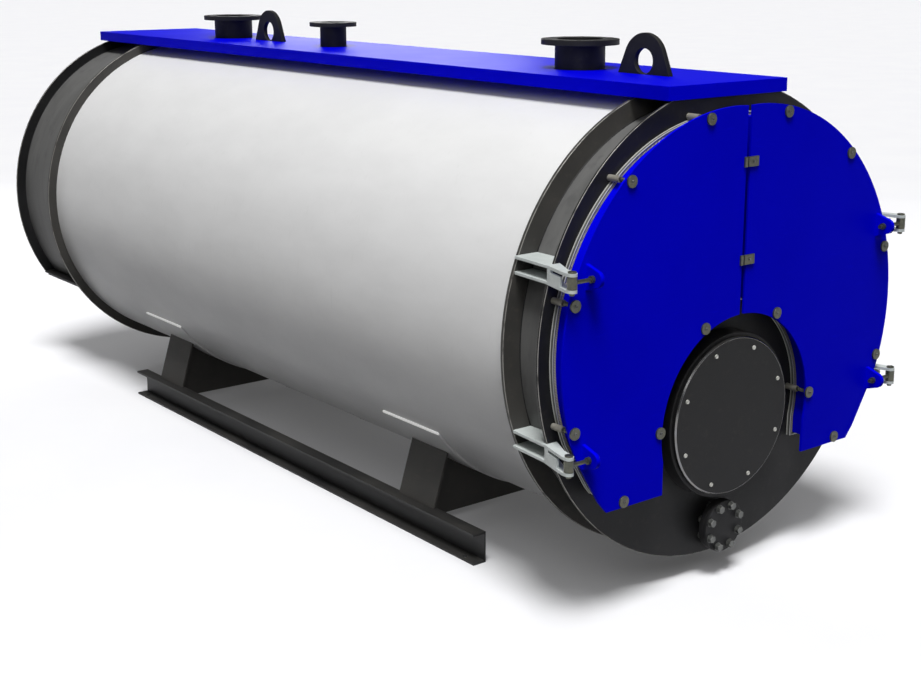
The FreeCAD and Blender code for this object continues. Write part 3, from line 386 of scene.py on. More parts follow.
# lathe: a closed solid from (radius, height) points, turned about an axis through its centre
def latheMesh(name, profile, centre, toward, sides):
    solid = bmesh.new()
    turn = Vector((0, 0, 1)).rotation_difference(Vector(toward)).to_matrix().to_4x4()
    place = Matrix.Translation(Vector(centre)) @ turn
    angles = [fullTurn * i / sides for i in range(sides)]
    rings = []
    for radius, height in profile:
        points = [(radius * math.cos(a), radius * math.sin(a), height) for a in angles] if radius else [
            (0, 0, height)]
        rings.append([solid.verts.new(place @ Vector(point)) for point in points])
    closed = profile[0][0] > 0
    for low, high in list(zip(rings, rings[1:])) + ([(rings[-1], rings[0])] if closed else []):
        for i in range(sides):
            j = (i + 1) % sides
            corners = [low[i % len(low)], low[j % len(low)], high[j % len(high)], high[i % len(high)]]
            face = list(dict.fromkeys(corners))
            if len(face) > 2:
                solid.faces.new(face)
    bmesh.ops.recalc_face_normals(solid, faces=solid.faces)
    return meshFrom(solid, name)


# burner cover: a turned plate whose rim chamfer is left as bright turned steel
burnerCover = {"chamfer": 5 * mm, "lip": 0.4 * mm, "sides": 160}
r, t = radiusOf("burner_cover"), burnerBox[1][1] - burnerBox[0][1]
c, lip = burnerCover["chamfer"], burnerCover["lip"]
turned = {
    "burner_cover_turned": [(0, 0), (r - c / 2, 0), (r, c / 2), (r, t - c), (r - c, t), (r - 2 * c, t),
                            (r * 0.5, t), (0, t)],
    "burner_cover_rim": [(r - lip / 2, t - c - lip), (r + lip, t - c - lip), (r + lip, t - c + lip),
                         (r - c + lip, t + lip), (r - c - 2 * lip, t + lip), (r - c - 2 * lip, t - 2 * lip)]}
coverFoot = (0, burnerBox[1][1], burnerHeight)
coverPiece, rimPiece = [showMesh(name, latheMesh(name, profile, coverFoot, (0, -1, 0), burnerCover["sides"]))
                        for name, profile in turned.items()]
settle(coverPiece, "root", blackStovePaint, ["burner_cover"])
settle(rimPiece, "root", turnedSteel)


# geometry node trees
def startTree(name, inputs):
    tree = bpy.data.node_groups.new(name, "GeometryNodeTree")
    tree.interface.new_socket("Geometry", in_out="INPUT", socket_type="NodeSocketGeometry")
    for label, (kind, value) in inputs.items():
        socket = tree.interface.new_socket(label, in_out="INPUT", socket_type="NodeSocket" + kind)
        if value is not None:
            socket.default_value = value
    tree.interface.new_socket("Geometry", in_out="OUTPUT", socket_type="NodeSocketGeometry")
    return tree, tree.nodes.new("NodeGroupInput").outputs


def endTree(tree, geometry, finish):
    real = addNode(tree, "GeometryNodeRealizeInstances", {"Geometry": geometry})
    dressed = addNode(tree, "GeometryNodeSetMaterial", {"Geometry": real, "Material": finish})
    addNode(tree, "NodeGroupOutput", {"Geometry": dressed})
    return tree


def standAt(tree, points, instance, outward, seed=None):  # copies of a thing at points, its Z along outward
    turn = addNode(tree, "FunctionNodeAlignRotationToVector", {"Vector": outward}, axis="Z")
    if seed is not None:
        spin = addNode(tree, "FunctionNodeRandomValue", {2: 0.0, 3: 6.283, "Seed": seed}, data_type="FLOAT")
        euler = addNode(tree, "ShaderNodeCombineXYZ", {"Z": spin.outputs[1]})
        spun = addNode(tree, "FunctionNodeEulerToRotation", {0: euler})
        turn = addNode(tree, "FunctionNodeRotateRotation", {"Rotation": turn, "Rotate By": spun},
                       rotation_space="LOCAL")
    return addNode(tree, "GeometryNodeInstanceOnPoints", {
        "Points": points, "Instance": instance, "Rotation": turn})


def boltTree():  # washer, head with a chamfer, and a recess in the head
    tree, given = startTree("boltsOnPoints", {
        "Head Radius": ("Float", 0.008), "Head Height": ("Float", 0.006), "Sides": ("Int", 6),
        "Chamfer": ("Float", 0.001), "Washer Radius": ("Float", 0.011), "Washer Thickness": ("Float", 0.002),
        "Recess Radius": ("Float", 0.003), "Recess Depth": ("Float", 0.002), "Recess Taper": ("Float", 1.0),
        "Outward": ("Vector", (0, 0, 1)), "Seed": ("Int", 7), "Finish": ("Material", None)})
    radius, thick = given["Head Radius"], given["Washer Thickness"]
    head = addNode(tree, "GeometryNodeMeshCylinder", {
        "Vertices": given["Sides"], "Radius": radius, "Depth": given["Head Height"]})
    crownRadius = addNode(tree, "ShaderNodeMath", {0: radius, 1: given["Chamfer"]}, operation="SUBTRACT")
    crownShare = addNode(tree, "ShaderNodeMath", {0: crownRadius, 1: radius}, operation="DIVIDE")
    mouth = given["Recess Radius"]
    mouthShare = addNode(tree, "ShaderNodeMath", {0: mouth, 1: crownRadius}, operation="DIVIDE")
    down = addNode(tree, "ShaderNodeMath", {0: given["Recess Depth"], 1: -1.0}, operation="MULTIPLY")
    top = head.outputs["Top"]
    for rise, share in ((given["Chamfer"], crownShare), (0.0, mouthShare), (down, given["Recess Taper"])):
        drawn = addNode(tree, "GeometryNodeExtrudeMesh", {
            "Mesh": head, "Selection": top, "Offset Scale": rise, "Individual": False})
        top = drawn.outputs["Top"]
        head = addNode(tree, "GeometryNodeScaleElements", {
            "Geometry": drawn, "Selection": top, "Scale": share})
    washer = addNode(tree, "GeometryNodeMeshCylinder", {
        "Vertices": 28, "Radius": given["Washer Radius"], "Depth": thick})
    headRise = addNode(tree, "ShaderNodeMath", {0: given["Head Height"], 1: 0.5, 2: thick},
                       operation="MULTIPLY_ADD")
    washerRise = addNode(tree, "ShaderNodeMath", {0: thick, 1: 0.5}, operation="MULTIPLY")
    both = addNode(tree, "GeometryNodeJoinGeometry")
    for part, rise in ((head, headRise), (washer, washerRise)):
        upward = addNode(tree, "ShaderNodeCombineXYZ", {"Z": rise})
        raised = addNode(tree, "GeometryNodeTransform", {"Geometry": part, "Translation": upward})
        tree.links.new(raised.outputs[0], both.inputs[0])
    stood = standAt(tree, given["Geometry"], both, given["Outward"], given["Seed"])
    return endTree(tree, stood, given["Finish"])


def beadTree():  # a rounded bead along edges, with ripples: weld, rope or trim
    tree, given = startTree("beadAlongEdges", {
        "Bead Radius": ("Float", 0.004), "Ripple Length": ("Float", 0.008), "Ripple Share": ("Float", 0.15),
        "Sides": ("Int", 8), "Finish": ("Material", None)})
    path = addNode(tree, "GeometryNodeMeshToCurve", {"Mesh": given["Geometry"]})
    step = addNode(tree, "ShaderNodeMath", {0: given["Ripple Length"], 1: 0.5}, operation="MULTIPLY")
    even = addNode(tree, "GeometryNodeResampleCurve", {"Curve": path, "Length": step}, mode="LENGTH")
    along = addNode(tree, "GeometryNodeSplineParameter").outputs["Length"]
    waves = addNode(tree, "ShaderNodeMath", {0: along, 1: given["Ripple Length"]}, operation="DIVIDE")
    turns = addNode(tree, "ShaderNodeMath", {0: waves, 1: 6.2832, 2: 0.9}, operation="MULTIPLY_ADD")
    swell = addNode(tree, "ShaderNodeMath", {0: turns}, operation="SINE")
    thick = addNode(tree, "ShaderNodeMath", {0: swell, 1: given["Ripple Share"], 2: 1.0},
                    operation="MULTIPLY_ADD").outputs[0]
    ring = addNode(tree, "GeometryNodeCurvePrimitiveCircle", {
        "Resolution": given["Sides"], "Radius": given["Bead Radius"]})
    sized = addNode(tree, "GeometryNodeSetCurveRadius", {"Curve": even, "Radius": thick})
    bead = addNode(tree, "GeometryNodeCurveToMesh", {
        "Curve": sized, "Profile Curve": ring, "Fill Caps": True})
    if "Scale" in bead.inputs:
        tree.links.new(thick, bead.inputs["Scale"])
    return endTree(tree, bead, given["Finish"])


def threadTree():  # a screw thread as a fine spiral on a rod
    tree, given = startTree("threadOnRods", {
        "Rod Radius": ("Float", 0.008), "Length": ("Float", 0.05), "Pitch": ("Float", 0.003),
        "Outward": ("Vector", (0, 1, 0)), "Finish": ("Material", None)})
    turns = addNode(tree, "ShaderNodeMath", {0: given["Length"], 1: given["Pitch"]}, operation="DIVIDE")
    helix = addNode(tree, "GeometryNodeCurveSpiral", {
        "Resolution": 14, "Rotations": turns, "Start Radius": given["Rod Radius"],
        "End Radius": given["Rod Radius"], "Height": given["Length"]})
    crest = addNode(tree, "ShaderNodeMath", {0: given["Pitch"], 1: 0.42}, operation="MULTIPLY")
    ridge = addNode(tree, "GeometryNodeCurvePrimitiveCircle", {"Resolution": 4, "Radius": crest})
    thread = addNode(tree, "GeometryNodeCurveToMesh", {
        "Curve": helix, "Profile Curve": ridge, "Fill Caps": True})
    return endTree(tree, standAt(tree, given["Geometry"], thread, given["Outward"]), given["Finish"])


def tubeBankTree():  # staggered tube ends that fill the tube plate round the furnace
    tree, given = startTree("tubeBank", {
        "Pitch": ("Float", 0.09), "Columns": ("Int", 18), "Rows": ("Int", 20), "Bank Radius": ("Float", 0.74),
        "Furnace Radius": ("Float", 0.4), "Furnace Drop": ("Float", 0.365), "Tube Radius": ("Float", 0.032),
        "Tube Wall": ("Float", 0.003), "Stick Out": ("Float", 0.006), "Centre": ("Vector", (0, 0, 0)),
        "Bores": ("Bool", False), "Finish": ("Material", None)})
    pitch, tube, wall = given["Pitch"], given["Tube Radius"], given["Tube Wall"]
    wide = addNode(tree, "ShaderNodeMath", {0: given["Columns"], 1: pitch}, operation="MULTIPLY")
    tall = addNode(tree, "ShaderNodeMath", {0: given["Rows"], 1: pitch}, operation="MULTIPLY")
    squat = addNode(tree, "ShaderNodeMath", {0: tall, 1: 0.866}, operation="MULTIPLY")
    grid = addNode(tree, "GeometryNodeMeshGrid", {
        "Size X": wide, "Size Y": squat, "Vertices X": given["Columns"], "Vertices Y": given["Rows"]})
    number = addNode(tree, "GeometryNodeInputIndex")
    odd = addNode(tree, "ShaderNodeMath", {0: number, 1: 2.0}, operation="MODULO")
    aside = addNode(tree, "ShaderNodeMath", {0: pitch, 1: 0.5}, operation="MULTIPLY")
    shift = addNode(tree, "ShaderNodeMath", {0: odd, 1: aside}, operation="MULTIPLY")
    offset = addNode(tree, "ShaderNodeCombineXYZ", {"X": shift})
    staggered = addNode(tree, "GeometryNodeSetPosition", {"Geometry": grid, "Offset": offset})
    place = addNode(tree, "GeometryNodeInputPosition")
    reach = addNode(tree, "ShaderNodeVectorMath", {0: place}, operation="LENGTH").outputs["Value"]
    drop = addNode(tree, "ShaderNodeCombineXYZ", {"Y": given["Furnace Drop"]})
    fromFurnace = addNode(tree, "ShaderNodeVectorMath", {0: place, 1: drop}, operation="ADD")
    gap = addNode(tree, "ShaderNodeVectorMath", {0: fromFurnace}, operation="LENGTH").outputs["Value"]
    far = addNode(tree, "FunctionNodeCompare", {0: reach, 1: given["Bank Radius"]}, operation="GREATER_THAN")
    close = addNode(tree, "FunctionNodeCompare", {0: gap, 1: given["Furnace Radius"]}, operation="LESS_THAN")
    out = addNode(tree, "FunctionNodeBooleanMath", {0: far, 1: close}, operation="OR")
    kept = addNode(tree, "GeometryNodeDeleteGeometry", {"Geometry": staggered, "Selection": out})
    stood = addNode(tree, "GeometryNodeTransform", {
        "Geometry": kept, "Translation": given["Centre"], "Rotation": (math.pi / 2, 0, 0)})
    circle = addNode(tree, "GeometryNodeCurvePrimitiveCircle", {"Resolution": 20, "Radius": tube})
    double = addNode(tree, "ShaderNodeMath", {0: given["Stick Out"], 1: 2.0}, operation="MULTIPLY")
    section = addNode(tree, "GeometryNodeCurvePrimitiveQuadrilateral", {"Width": wall, "Height": double})
    ring = addNode(tree, "GeometryNodeCurveToMesh", {"Curve": circle, "Profile Curve": section})
    inner = addNode(tree, "ShaderNodeMath", {0: tube, 1: wall}, operation="SUBTRACT")
    # a near-black disc closes each bore: painted shade for the hollow of the tube
    disc = addNode(tree, "GeometryNodeMeshCylinder", {"Vertices": 20, "Radius": inner, "Depth": 0.002})
    shown = addNode(tree, "GeometryNodeSwitch", {"Switch": given["Bores"], "False": ring, "True": disc},
                    input_type="GEOMETRY")
    return endTree(tree, standAt(tree, stood, shown, (0, -1, 0)), given["Finish"])


def rivetTree():  # low domes on a drum, each standing away from the drum's axis
    tree, given = startTree("rivetsOnDrum", {
        "Rivet Radius": ("Float", 0.0034), "Rise": ("Float", 0.4), "Axis Height": ("Float", 1.0),
        "Finish": ("Material", None)})
    ball = addNode(tree, "GeometryNodeMeshUVSphere", {
        "Segments": 10, "Rings": 5, "Radius": given["Rivet Radius"]})
    flatten = addNode(tree, "ShaderNodeCombineXYZ", {"X": 1.0, "Y": 1.0, "Z": given["Rise"]})
    dome = addNode(tree, "GeometryNodeTransform", {"Geometry": ball, "Scale": flatten})
    place = addNode(tree, "ShaderNodeSeparateXYZ", {0: addNode(tree, "GeometryNodeInputPosition")})
    above = addNode(tree, "ShaderNodeMath", {0: place.outputs[2], 1: given["Axis Height"]},
                    operation="SUBTRACT")
    outward = addNode(tree, "ShaderNodeCombineXYZ", {"X": place, "Z": above}).outputs[0]
    return endTree(tree, standAt(tree, given["Geometry"], dome, outward), given["Finish"])


bolts, beads, threads, tubeBank, rivetRows = boltTree(), beadTree(), threadTree(), tubeBankTree(), rivetTree()


def grow(name, tree, spots, values, body, edges=()):
    mesh = bpy.data.meshes.new(name + "Spots")
    mesh.from_pydata([tuple(s) for s in spots], list(edges), [])
    holder = showMesh(name, mesh)
    modifier = holder.modifiers.new("grow", "NODES")
    modifier.node_group = tree
    for socket in tree.interface.items_tree:
        if socket.in_out == "INPUT" and socket.name in values:
            modifier[socket.identifier] = values[socket.name]
    applyModifiers(holder)
    settle(holder, body)


def hexBolt(size, finish, outward, height=0.65):  # every size follows the thread size in mm
    return {"Head Radius": size * 0.92 * mm, "Head Height": size * (height - 0.08) * mm, "Sides": 6,
            "Chamfer": size * 0.08 * mm, "Washer Radius": size * mm, "Washer Thickness": size * 0.16 * mm,
            "Recess Radius": size * 0.55 * mm, "Recess Depth": size * 0.03 * mm, "Outward": outward,
            "Finish": finish}


def circleSpots(centre, radius, count, across="y", start=0.0, sweep=fullTurn):
    spots = []
    for i in range(count):
        a = start + sweep * i / count
        u, v = radius * math.cos(a), radius * math.sin(a)
        spots.append(Vector(centre) + Vector((u, 0, v) if across == "y" else (u, v, 0)))
    return spots


# countersunk screws round the burner cover, each with a conical recess
coverScrews = {"circle": 0.292, "count": 8, "firstAt": 22.5, "sizes": {
    "Head Radius": 8.5 * mm, "Head Height": 3.4 * mm, "Sides": 24, "Chamfer": 0.6 * mm,
    "Washer Radius": 9 * mm, "Washer Thickness": 0.4 * mm, "Recess Radius": 7.4 * mm,
    "Recess Depth": 3.2 * mm, "Recess Taper": 0.4, "Outward": (0, -1, 0), "Finish": foldedEdge}}
coverSpots = circleSpots((0, burnerBox[0][1], burnerHeight), coverScrews["circle"], coverScrews["count"],
                         start=math.radians(coverScrews["firstAt"]))
grow("burner_cover_screws", bolts, coverSpots, coverScrews["sizes"], "root")

# bolts and nuts of the blind drain flange
drainBolts = {"circle": 0.090, "count": 8, "firstAt": 22.5, "size": 18, "flangeThick": 20 * mm}
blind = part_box("drain_blind_flange")
drainHeight = heightOf(blind)
for name, y, outward, height in (
        ("drain_flange_bolts", blind[0][1], (0, -1, 0), 0.9),
        ("drain_flange_nuts", blind[1][1] + drainBolts["flangeThick"], (0, 1, 0), 0.75)):
    spots = circleSpots((0, y, drainHeight), drainBolts["circle"], drainBolts["count"],
                        start=math.radians(drainBolts["firstAt"]))
    grow(name, bolts, spots, hexBolt(drainBolts["size"], blackOxide, outward, height), "root")
print("flange bolts grown")

# door hardware: a socket head on each clamp disc, a thread at each clamp's tip, a screw in each catch plate
clamps = {"threadFromEnd": 46 * mm, "head": {
    "Head Radius": 6.5 * mm, "Head Height": 2.0 * mm, "Sides": 6, "Chamfer": 0.8 * mm,
    "Washer Radius": 7.2 * mm, "Washer Thickness": 0.4 * mm, "Recess Radius": 4.0 * mm,
    "Recess Depth": 2.4 * mm, "Outward": (0, -1, 0), "Finish": blackOxide}, "thread": {
    "Rod Radius": 7.6 * mm, "Length": 44 * mm, "Pitch": 3 * mm, "Outward": (0, 1, 0), "Finish": zincPlate}}
catches = {"plateWiderThan": 20 * mm, "screw": 6}
for side in ("right", "left"):
    door = f"door_{side}"
    discs = solidBoxes(f"{door}_clamp_bolts")
    middles = [(low + high) / 2 for low, high in discs]
    faceY = min(low[1] for low, high in discs)
    threadY = max(high[1] for low, high in discs) - clamps["threadFromEnd"]
    grow(f"{door}_clamp_heads", bolts, [(m[0], faceY, m[2]) for m in middles], clamps["head"], door)
    grow(f"{door}_clamp_threads", threads, [(m[0], threadY, m[2]) for m in middles], clamps["thread"], door)
    plates = [(low, high) for low, high in solidBoxes(f"{door}_catches")
              if high[0] - low[0] > catches["plateWiderThan"]]
    if plates:  # only one door carries the catch plates, the other has their tongues
        spots = [((low[0] + high[0]) / 2, low[1], (low[2] + high[2]) / 2) for low, high in plates]
        grow(f"{door}_catch_screws", bolts, spots, hexBolt(catches["screw"], blackOxide, (0, -1, 0)), door)
print("door hardware grown")


# beads along lines; a line is its spots and the edges that join them
def ringEdges(centre, radius, count=180, across="y"):
    return circleSpots(centre, radius, count, across), [(i, (i + 1) % count) for i in range(count)]


def layBeads(name, lines, finish, slot, radius, ripple, share, sides):
    spots, edges = [], []
    for points, links in lines:
        edges += [(a + len(spots), b + len(spots)) for a, b in links]
        spots += points
    grow(name, beads, spots, {"Bead Radius": radius, "Ripple Length": ripple, "Ripple Share": share,
                              "Sides": sides, "Finish": finish}, "root", edges)


# weld beads round the boxes, pipes and rings
welds = {"bead": {"radius": 3.5 * mm, "ripple": 12 * mm, "share": 0.12, "sides": 6}, "steps": 180,
         "drainPipe": 57.15 * mm, "fluePipe": 255 * mm, "aboveBoxFloor": 4 * mm,
         "nozzles": {"nozzle_front": (109.55 * mm, 24 * mm), "nozzle_middle": (69.85 * mm, 22 * mm),
                     "nozzle_rear": (109.55 * mm, 24 * mm)}}  # pipe radius, flange thickness
rearR, steps = radiusOf("rear_smoke_box_shell"), welds["steps"]
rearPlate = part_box("rear_plate")
dip = math.asin((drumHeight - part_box("rear_box_floor")[1][2] - welds["aboveBoxFloor"]) / rearR)
weldLines = [ringEdges((0, y, drumHeight), radiusOf("front_smoke_box_shell"))
             for y in (frontBackY, tubePlateY)]
for y in (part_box("rear_tube_plate")[1][1], rearPlate[0][1]):  # open at the flat floor of the box
    arc = circleSpots((0, y, drumHeight), rearR, steps + 1, start=-dip,
                      sweep=(math.pi + 2 * dip) * (steps + 1) / steps)
    weldLines.append((arc, [(i, i + 1) for i in range(steps)]))
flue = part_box("flue_outlet")
flueHeight = heightOf(flue)
weldLines += [ringEdges((0, frontFaceY, burnerHeight), radiusOf("burner_ring")),
              ringEdges((0, frontFaceY, drainHeight), welds["drainPipe"], 60),
              ringEdges((0, rearPlate[1][1], flueHeight), welds["fluePipe"], 90)]
for nodeName, (pipeRadius, thick) in welds["nozzles"].items():
    low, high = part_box(nodeName)
    weldLines.append(ringEdges((0, (low[1] + high[1]) / 2, high[2] - thick), pipeRadius, 60, across="z"))
layBeads("box_weld_beads", weldLines, blackStovePaint, "charcoal_paint", **welds["bead"])
print("welds laid")


# closed outlines of a node's sharp edges at one depth, each a ring of points in order, the largest first
def outlinesAt(nodeName, depth):
    solid = mergedCopy(nodeName)
    ways = {}
    for edge in solid.edges:
        if all(abs(corner.co.y - depth) < 1e-4 for corner in edge.verts) and edge.calc_face_angle(0) > 1:
            a, b = edge.verts
            ways.setdefault(a, []).append(b)
            ways.setdefault(b, []).append(a)
    rings = []
    while ways:
        here, ring = next(iter(ways)), []
        while here:
            ring.append(here.co.copy())
            here = next((corner for corner in ways.pop(here) if corner in ways), None)
        rings.append(ring)
    solid.free()
    return sorted(rings, key=lambda ring: -abs(areaOf(ring)))


def areaOf(ring):
    return sum(a.x * b.z - b.x * a.z for a, b in zip(ring, ring[1:] + ring[:1])) / 2


def drawnIn(ring, distance):  # the same outline moved towards its inside
    side = 1 if areaOf(ring) > 0 else -1
    moved = []
    for before, point, after in zip(ring[-1:] + ring[:-1], ring, ring[1:] + ring[:1]):
        behind, ahead = (point - before).normalized(), (after - point).normalized()
        across = Vector((-behind.z, 0, behind.x)) * side
        middle = (across + Vector((-ahead.z, 0, ahead.x)) * side).normalized()
        moved.append(point + middle * distance / max(0.3, middle.dot(across)))
    return moved


def withoutFolds(ring, moved):  # drops points whose edge turned round when the outline shrank
    links = zip(ring, ring[1:] + ring[:1], moved, moved[1:] + moved[:1])
    return [near for start, end, near, far in links if (far - near).dot(end - start) > 0]


def ringLine(ring, depth):
    return [(p.x, depth, p.z) for p in ring], [(i, (i + 1) % len(ring)) for i in range(len(ring))]


# seal round each door: folded channel edges, and a braided rope lying in the groove
seal = {"grooveMiddle": 12 * mm, "ropeSunk": 0.8 * mm,
        "fold": {"radius": 2.2 * mm, "ripple": 16 * mm, "share": 0.0, "sides": 6},
        "rope": {"radius": 7.2 * mm, "ripple": 20 * mm, "share": 0.05, "sides": 10}}
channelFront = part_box("seal_channels")[0][1]
channelRings = outlinesAt("seal_channels", frontFaceY)
foldRadius = seal["fold"]["radius"]
foldLines = [ringLine(ring, depth) for ring in channelRings
             for depth in (channelFront + foldRadius, frontFaceY - foldRadius)]
layBeads("seal_channel_folds", foldLines, foldedEdge, slotOf["seal_channels"], **seal["fold"])
ropeDepth = channelFront + seal["rope"]["radius"] + seal["ropeSunk"]
ropeLines = [ringLine(drawnIn(ring, seal["grooveMiddle"]), ropeDepth) for ring in channelRings[:2]]
layBeads("seal_ropes", ropeLines, ceramicRope, slotOf["seal_channels"], **seal["rope"])

# sealant along the top edges of the wear pads
sealant = {"endGap": 6 * mm, "tuck": 0.8,
           "bead": {"radius": 5 * mm, "ripple": 40 * mm, "share": 0.05, "sides": 10}}
beadRadius = sealant["bead"]["radius"]
sealantLines = []
for nodeName in ("wear_pad_front", "wear_pad_rear"):
    low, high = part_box(nodeName)
    padRadius = drumHeight - low[2]
    reach = math.asin(high[0] / padRadius) + sealant["tuck"] * beadRadius / padRadius
    for side in (-1, 1):
        x = side * (padRadius - beadRadius) * math.sin(reach)
        z = drumHeight - (padRadius - beadRadius) * math.cos(reach)
        sealantLines.append(([(x, low[1] + sealant["endGap"], z), (x, high[1] - sealant["endGap"], z)],
                             [(0, 1)]))
layBeads("wear_pad_sealant", sealantLines, glowingSealantBead, "white_cladding", **sealant["bead"])


def isInside(x, z, ring):
    crossings = [a for a, b in zip(ring, ring[1:] + ring[:1])
                 if (a.z > z) != (b.z > z) and x < a.x + (z - a.z) / (b.z - a.z) * (b.x - a.x)]
    return len(crossings) % 2 == 1


# refractory cast on the back of each door, held by capped anchors
lining = {"fromChannel": 26 * mm, "thick": 12 * mm, "edge": 5 * mm, "keyedIn": 0.5 * mm,
          "anchorPitch": 0.19, "anchorFromEdge": 0.055, "columns": range(-5, 6), "rows": range(2, 11)}
anchorCap = {"Head Radius": 13 * mm, "Head Height": 2 * mm, "Sides": 20, "Chamfer": 1 * mm,
             "Washer Radius": 16 * mm, "Washer Thickness": 1 * mm, "Recess Radius": 6 * mm,
             "Recess Depth": 1 * mm, "Outward": (0, 1, 0), "Finish": scaledTube}
for channel in channelRings[2:]:
    door = "door_right" if channel[0].x > 0 else "door_left"
    outline = withoutFolds(channel, drawnIn(channel, lining["fromChannel"]))
    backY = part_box(f"{door}_body")[1][1]
    faceY = backY + lining["thick"]
    slab = bmesh.new()
    rims = [[slab.verts.new((p.x, y, p.z)) for p in points] for points, y in (
        (outline, backY - lining["keyedIn"]), (outline, faceY - lining["edge"]),
        (drawnIn(outline, lining["edge"]), faceY))]
    for lowRim, highRim in zip(rims, rims[1:]):
        for i in range(len(lowRim)):
            j = (i + 1) % len(lowRim)
            slab.faces.new((lowRim[i], lowRim[j], highRim[j], highRim[i]))
    slab.faces.new(rims[0][::-1])
    slab.faces.new(rims[-1])
    bmesh.ops.recalc_face_normals(slab, faces=slab.faces)
    slabName = f"{door}_refractory"
    settle(showMesh(slabName, meshFrom(slab, slabName)), door, castRefractory)
    within, pitch = drawnIn(outline, lining["anchorFromEdge"]), lining["anchorPitch"]
    spots = [(x * pitch, faceY, z * pitch) for x in lining["columns"] for z in lining["rows"]
             if isInside(x * pitch, z * pitch, within)]
    grow(f"{door}_anchors", bolts, spots, anchorCap, door)
print("seals and door linings laid")

# rear: bolts on the flue flange, and screws along both sides of the clean-out lid
flueBolts = {"circle": 0.282, "count": 16, "start": 0.196, "size": 12, "flangeThick": 12 * mm}
flueSpots = circleSpots((0, flue[1][1] - flueBolts["flangeThick"], flueHeight), flueBolts["circle"],
                        flueBolts["count"], start=flueBolts["start"])
grow("flue_flange_bolts", bolts, flueSpots, hexBolt(flueBolts["size"], blackOxide, (0, -1, 0)), "root")
lidScrews = {"inset": 0.022, "pitch": 0.16, "size": 10}
lidLow, lidHigh = min(solidBoxes("cleanout_cover"), key=lambda corners: corners[0][2])
inset = lidScrews["inset"]
span = lidHigh[0] - lidLow[0] - 2 * inset
count = max(2, round(span / lidScrews["pitch"]))
spots = [(lidLow[0] + inset + span * i / count, y, lidLow[2])
         for y in (lidLow[1] + inset, lidHigh[1] - inset) for i in range(count + 1)]
grow("cleanout_screws", bolts, spots, hexBolt(lidScrews["size"], zincPlate, (0, 0, -1)), "root")

# cladding: lap straps round the drum on the underside only, each held by two rows of blind rivets
straps = {"at": (-1.75, -0.35, 0.35, 1.9), "wide": 40 * mm, "thick": 1.2 * mm, "sunk": 0.5 * mm, "reach": 38,
          "steps": 36, "rivetStep": 4.5, "rivetFromEnd": 2, "rivetRow": 0.3, "rivetSunk": 0.3 * mm,
          "rivet": {"Rivet Radius": 3.4 * mm, "Rise": 0.45}}
cladRadius, reach = radiusOf("cladding"), straps["reach"]
insideR, outsideR = cladRadius - straps["sunk"], cladRadius + straps["thick"]
strap = bmesh.new()
rivets = []
for y in straps["at"]:
    near, far = y - straps["wide"] / 2, y + straps["wide"] / 2
    section = ((insideR, near), (outsideR, near), (outsideR, far), (insideR, far))
    rings = []
    for i in range(straps["steps"] + 1):
        a = math.radians(-90 - reach + 2 * reach * i / straps["steps"])
        rings.append([strap.verts.new((radius * math.cos(a), depth, drumHeight + radius * math.sin(a)))
                      for radius, depth in section])
    for ringA, ringB in zip(rings, rings[1:]):
        for k in range(4):
            strap.faces.new((ringA[k], ringA[(k + 1) % 4], ringB[(k + 1) % 4], ringB[k]))
    strap.faces.new(rings[0])
    strap.faces.new(rings[-1][::-1])
    count = int(2 * reach / straps["rivetStep"])
    firstRivet, rivetSpan = straps["rivetFromEnd"] - 90 - reach, 2 * (reach - straps["rivetFromEnd"])
    for i in range(count + 1):
        a = math.radians(firstRivet + rivetSpan * i / count)
        rivets += [(a, y + row * straps["rivetRow"] * straps["wide"]) for row in (-1, 1)]
bmesh.ops.recalc_face_normals(strap, faces=strap.faces)
strapPiece = showMesh("cladding_straps", meshFrom(strap, "cladding_straps"))
settle(strapPiece, "root", whiteSheet)
foot = outsideR - straps["rivetSunk"]
rivetSpots = [(foot * math.cos(a), y, drumHeight + foot * math.sin(a)) for a, y in rivets]
grow("cladding_rivets", rivetRows, rivetSpots,
     {**straps["rivet"], "Axis Height": drumHeight, "Finish": galvanised}, "root")
print("rear and underside dressed")

# tube bank behind the doors
bank = {"Pitch": 88 * mm, "Columns": 19, "Rows": 20, "Bank Radius": 0.760, "Furnace Radius": 0.400,
        "Furnace Drop": drumHeight - burnerHeight, "Tube Radius": 31.75 * mm, "Tube Wall": 3.2 * mm,
        "Stick Out": 6 * mm, "Centre": (0, tubePlateY, drumHeight)}
# the bores are near-black discs: painted shade in the tube mouths
for name, bores, finish in (("smoke_tube_ends", False, scaledTube), ("smoke_tube_bores", True, boreSootAndShade)):
    grow(name, tubeBank, [(0, 0, 0)], {**bank, "Bores": bores, "Finish": finish}, "root")
print("tube bank grown")

# floor, light and camera
studio = {"floorSize": 240, "skySize": 250, "skyGlow": 0.94, "floorGlow": 0.05, "ambient": 0.108,
          "fromBelow": 0.55, "fromAbove": 1.6,
          "sun": 3.3, "sunSpread": 20, "sunFrom": (-0.25, -0.283, 0.926), "softboxSize": 3.0,
          "softboxes": {"frontSoftbox": (60, (-3.5, -5.0, 4.5), (-0.3, -1.5, 1.2)),
                        "rearSoftbox": (150, (4.5, 6.5, 3.5), (0.0, 1.8, 1.0))}}  # watts, place, aimed at
half = studio["floorSize"]
floorMesh = bpy.data.meshes.new("studioFloor")
floorMesh.from_pydata([(-half, -half, 0), (half, -half, 0), (half, half, 0), (-half, half, 0)], [],
                      [(0, 1, 2, 3)])
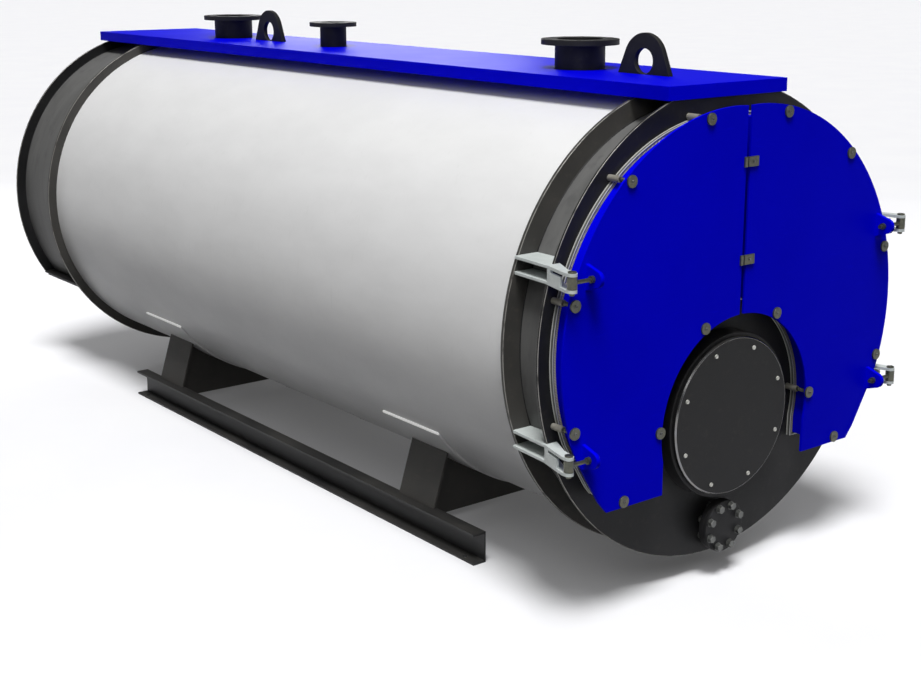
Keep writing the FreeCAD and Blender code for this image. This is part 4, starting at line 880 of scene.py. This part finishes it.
# matt pale studio floor: even, with the faintest mottling
floorPaint = surfaceFinish("paleStudioFloor", "#E8E8EA", 0.9, gloss=0.1, layers=(
    {"size": 900, "tint": "#E3E3E7", "amount": 0.5},))
letGlow(floorPaint, studio["floorGlow"])
floorMesh.materials.append(floorPaint)
floor = showMesh("studioFloor", floorMesh)
domeShape = bmesh.new()
bmesh.ops.create_uvsphere(domeShape, u_segments=64, v_segments=32, radius=studio["skySize"])
bmesh.ops.reverse_faces(domeShape, faces=domeShape.faces)
dome = showMesh("studioDome", meshFrom(domeShape, "studioDome"))
domePaint = bpy.data.materials.new("paleBackdrop")  # even and pale, lit from within
domePaint.use_nodes = True
domePaint.node_tree.nodes["Principled BSDF"].inputs["Base Color"].default_value = (0, 0, 0, 1)
letGlow(domePaint, studio["skyGlow"])
dome.data.materials.append(domePaint)
for stagePiece in (floor, dome):
    stagePiece.visible_diffuse = False  # pale to look at, but throws no light back up on the drum
    stagePiece.visible_shadow = stagePiece is floor
dome.visible_glossy = False

world = bpy.context.scene.world or bpy.data.worlds.new("studio")
bpy.context.scene.world = world
world.use_nodes = True
sky = world.node_tree
direction = addNode(sky, "ShaderNodeTexCoord").outputs["Generated"]
upness = addNode(sky, "ShaderNodeSeparateXYZ", {0: direction}).outputs[2]
glow = addNode(sky, "ShaderNodeMapRange", {
    "Value": upness, "From Min": -1.0, "From Max": 1.0, "To Min": studio["ambient"] * studio["fromBelow"],
    "To Max": studio["ambient"] * studio["fromAbove"]})
sky.links.new(glow.outputs[0], sky.nodes["Background"].inputs["Strength"])
sky.nodes["Background"].inputs["Color"].default_value = (1.0, 1.0, 1.0, 1.0)
bpy.context.scene.view_settings.view_transform = "Standard"  # keeps the saturated blue


def placeLight(name, lamp, fromWhere):
    light = bpy.data.objects.new(name, lamp)
    light.rotation_euler = Vector(fromWhere).to_track_quat("Z", "Y").to_euler()
    bpy.context.scene.collection.objects.link(light)
    return light


lamp = bpy.data.lights.new("softSun", "SUN")
lamp.energy, lamp.angle = studio["sun"], math.radians(studio["sunSpread"])
placeLight("softSun", lamp, studio["sunFrom"])
for name, (watts, place, target) in studio["softboxes"].items():
    soft = bpy.data.lights.new(name, "AREA")
    soft.shape, soft.size, soft.energy = "SQUARE", studio["softboxSize"], watts
    placeLight(name, soft, Vector(place) - Vector(target)).location = place

viewing = {"at": (-4.383, -6.122, 2.539), "yaw": 38.08, "pitch": 13.50,
           "lens": 57.34, "sensor": 36.0, "shiftY": -0.05}
eye = bpy.data.cameras.new("viewer")
eye.clip_end = 2 * studio["skySize"]
eye.lens, eye.sensor_width, eye.shift_y = viewing["lens"], viewing["sensor"], viewing["shiftY"]
camera = bpy.data.objects.new("viewer", eye)
camera.location = viewing["at"]
camera.rotation_euler = (math.radians(90 - viewing["pitch"]), 0, math.radians(-viewing["yaw"]))
bpy.context.scene.collection.objects.link(camera)
bpy.context.scene.camera = camera

print("scene ready")
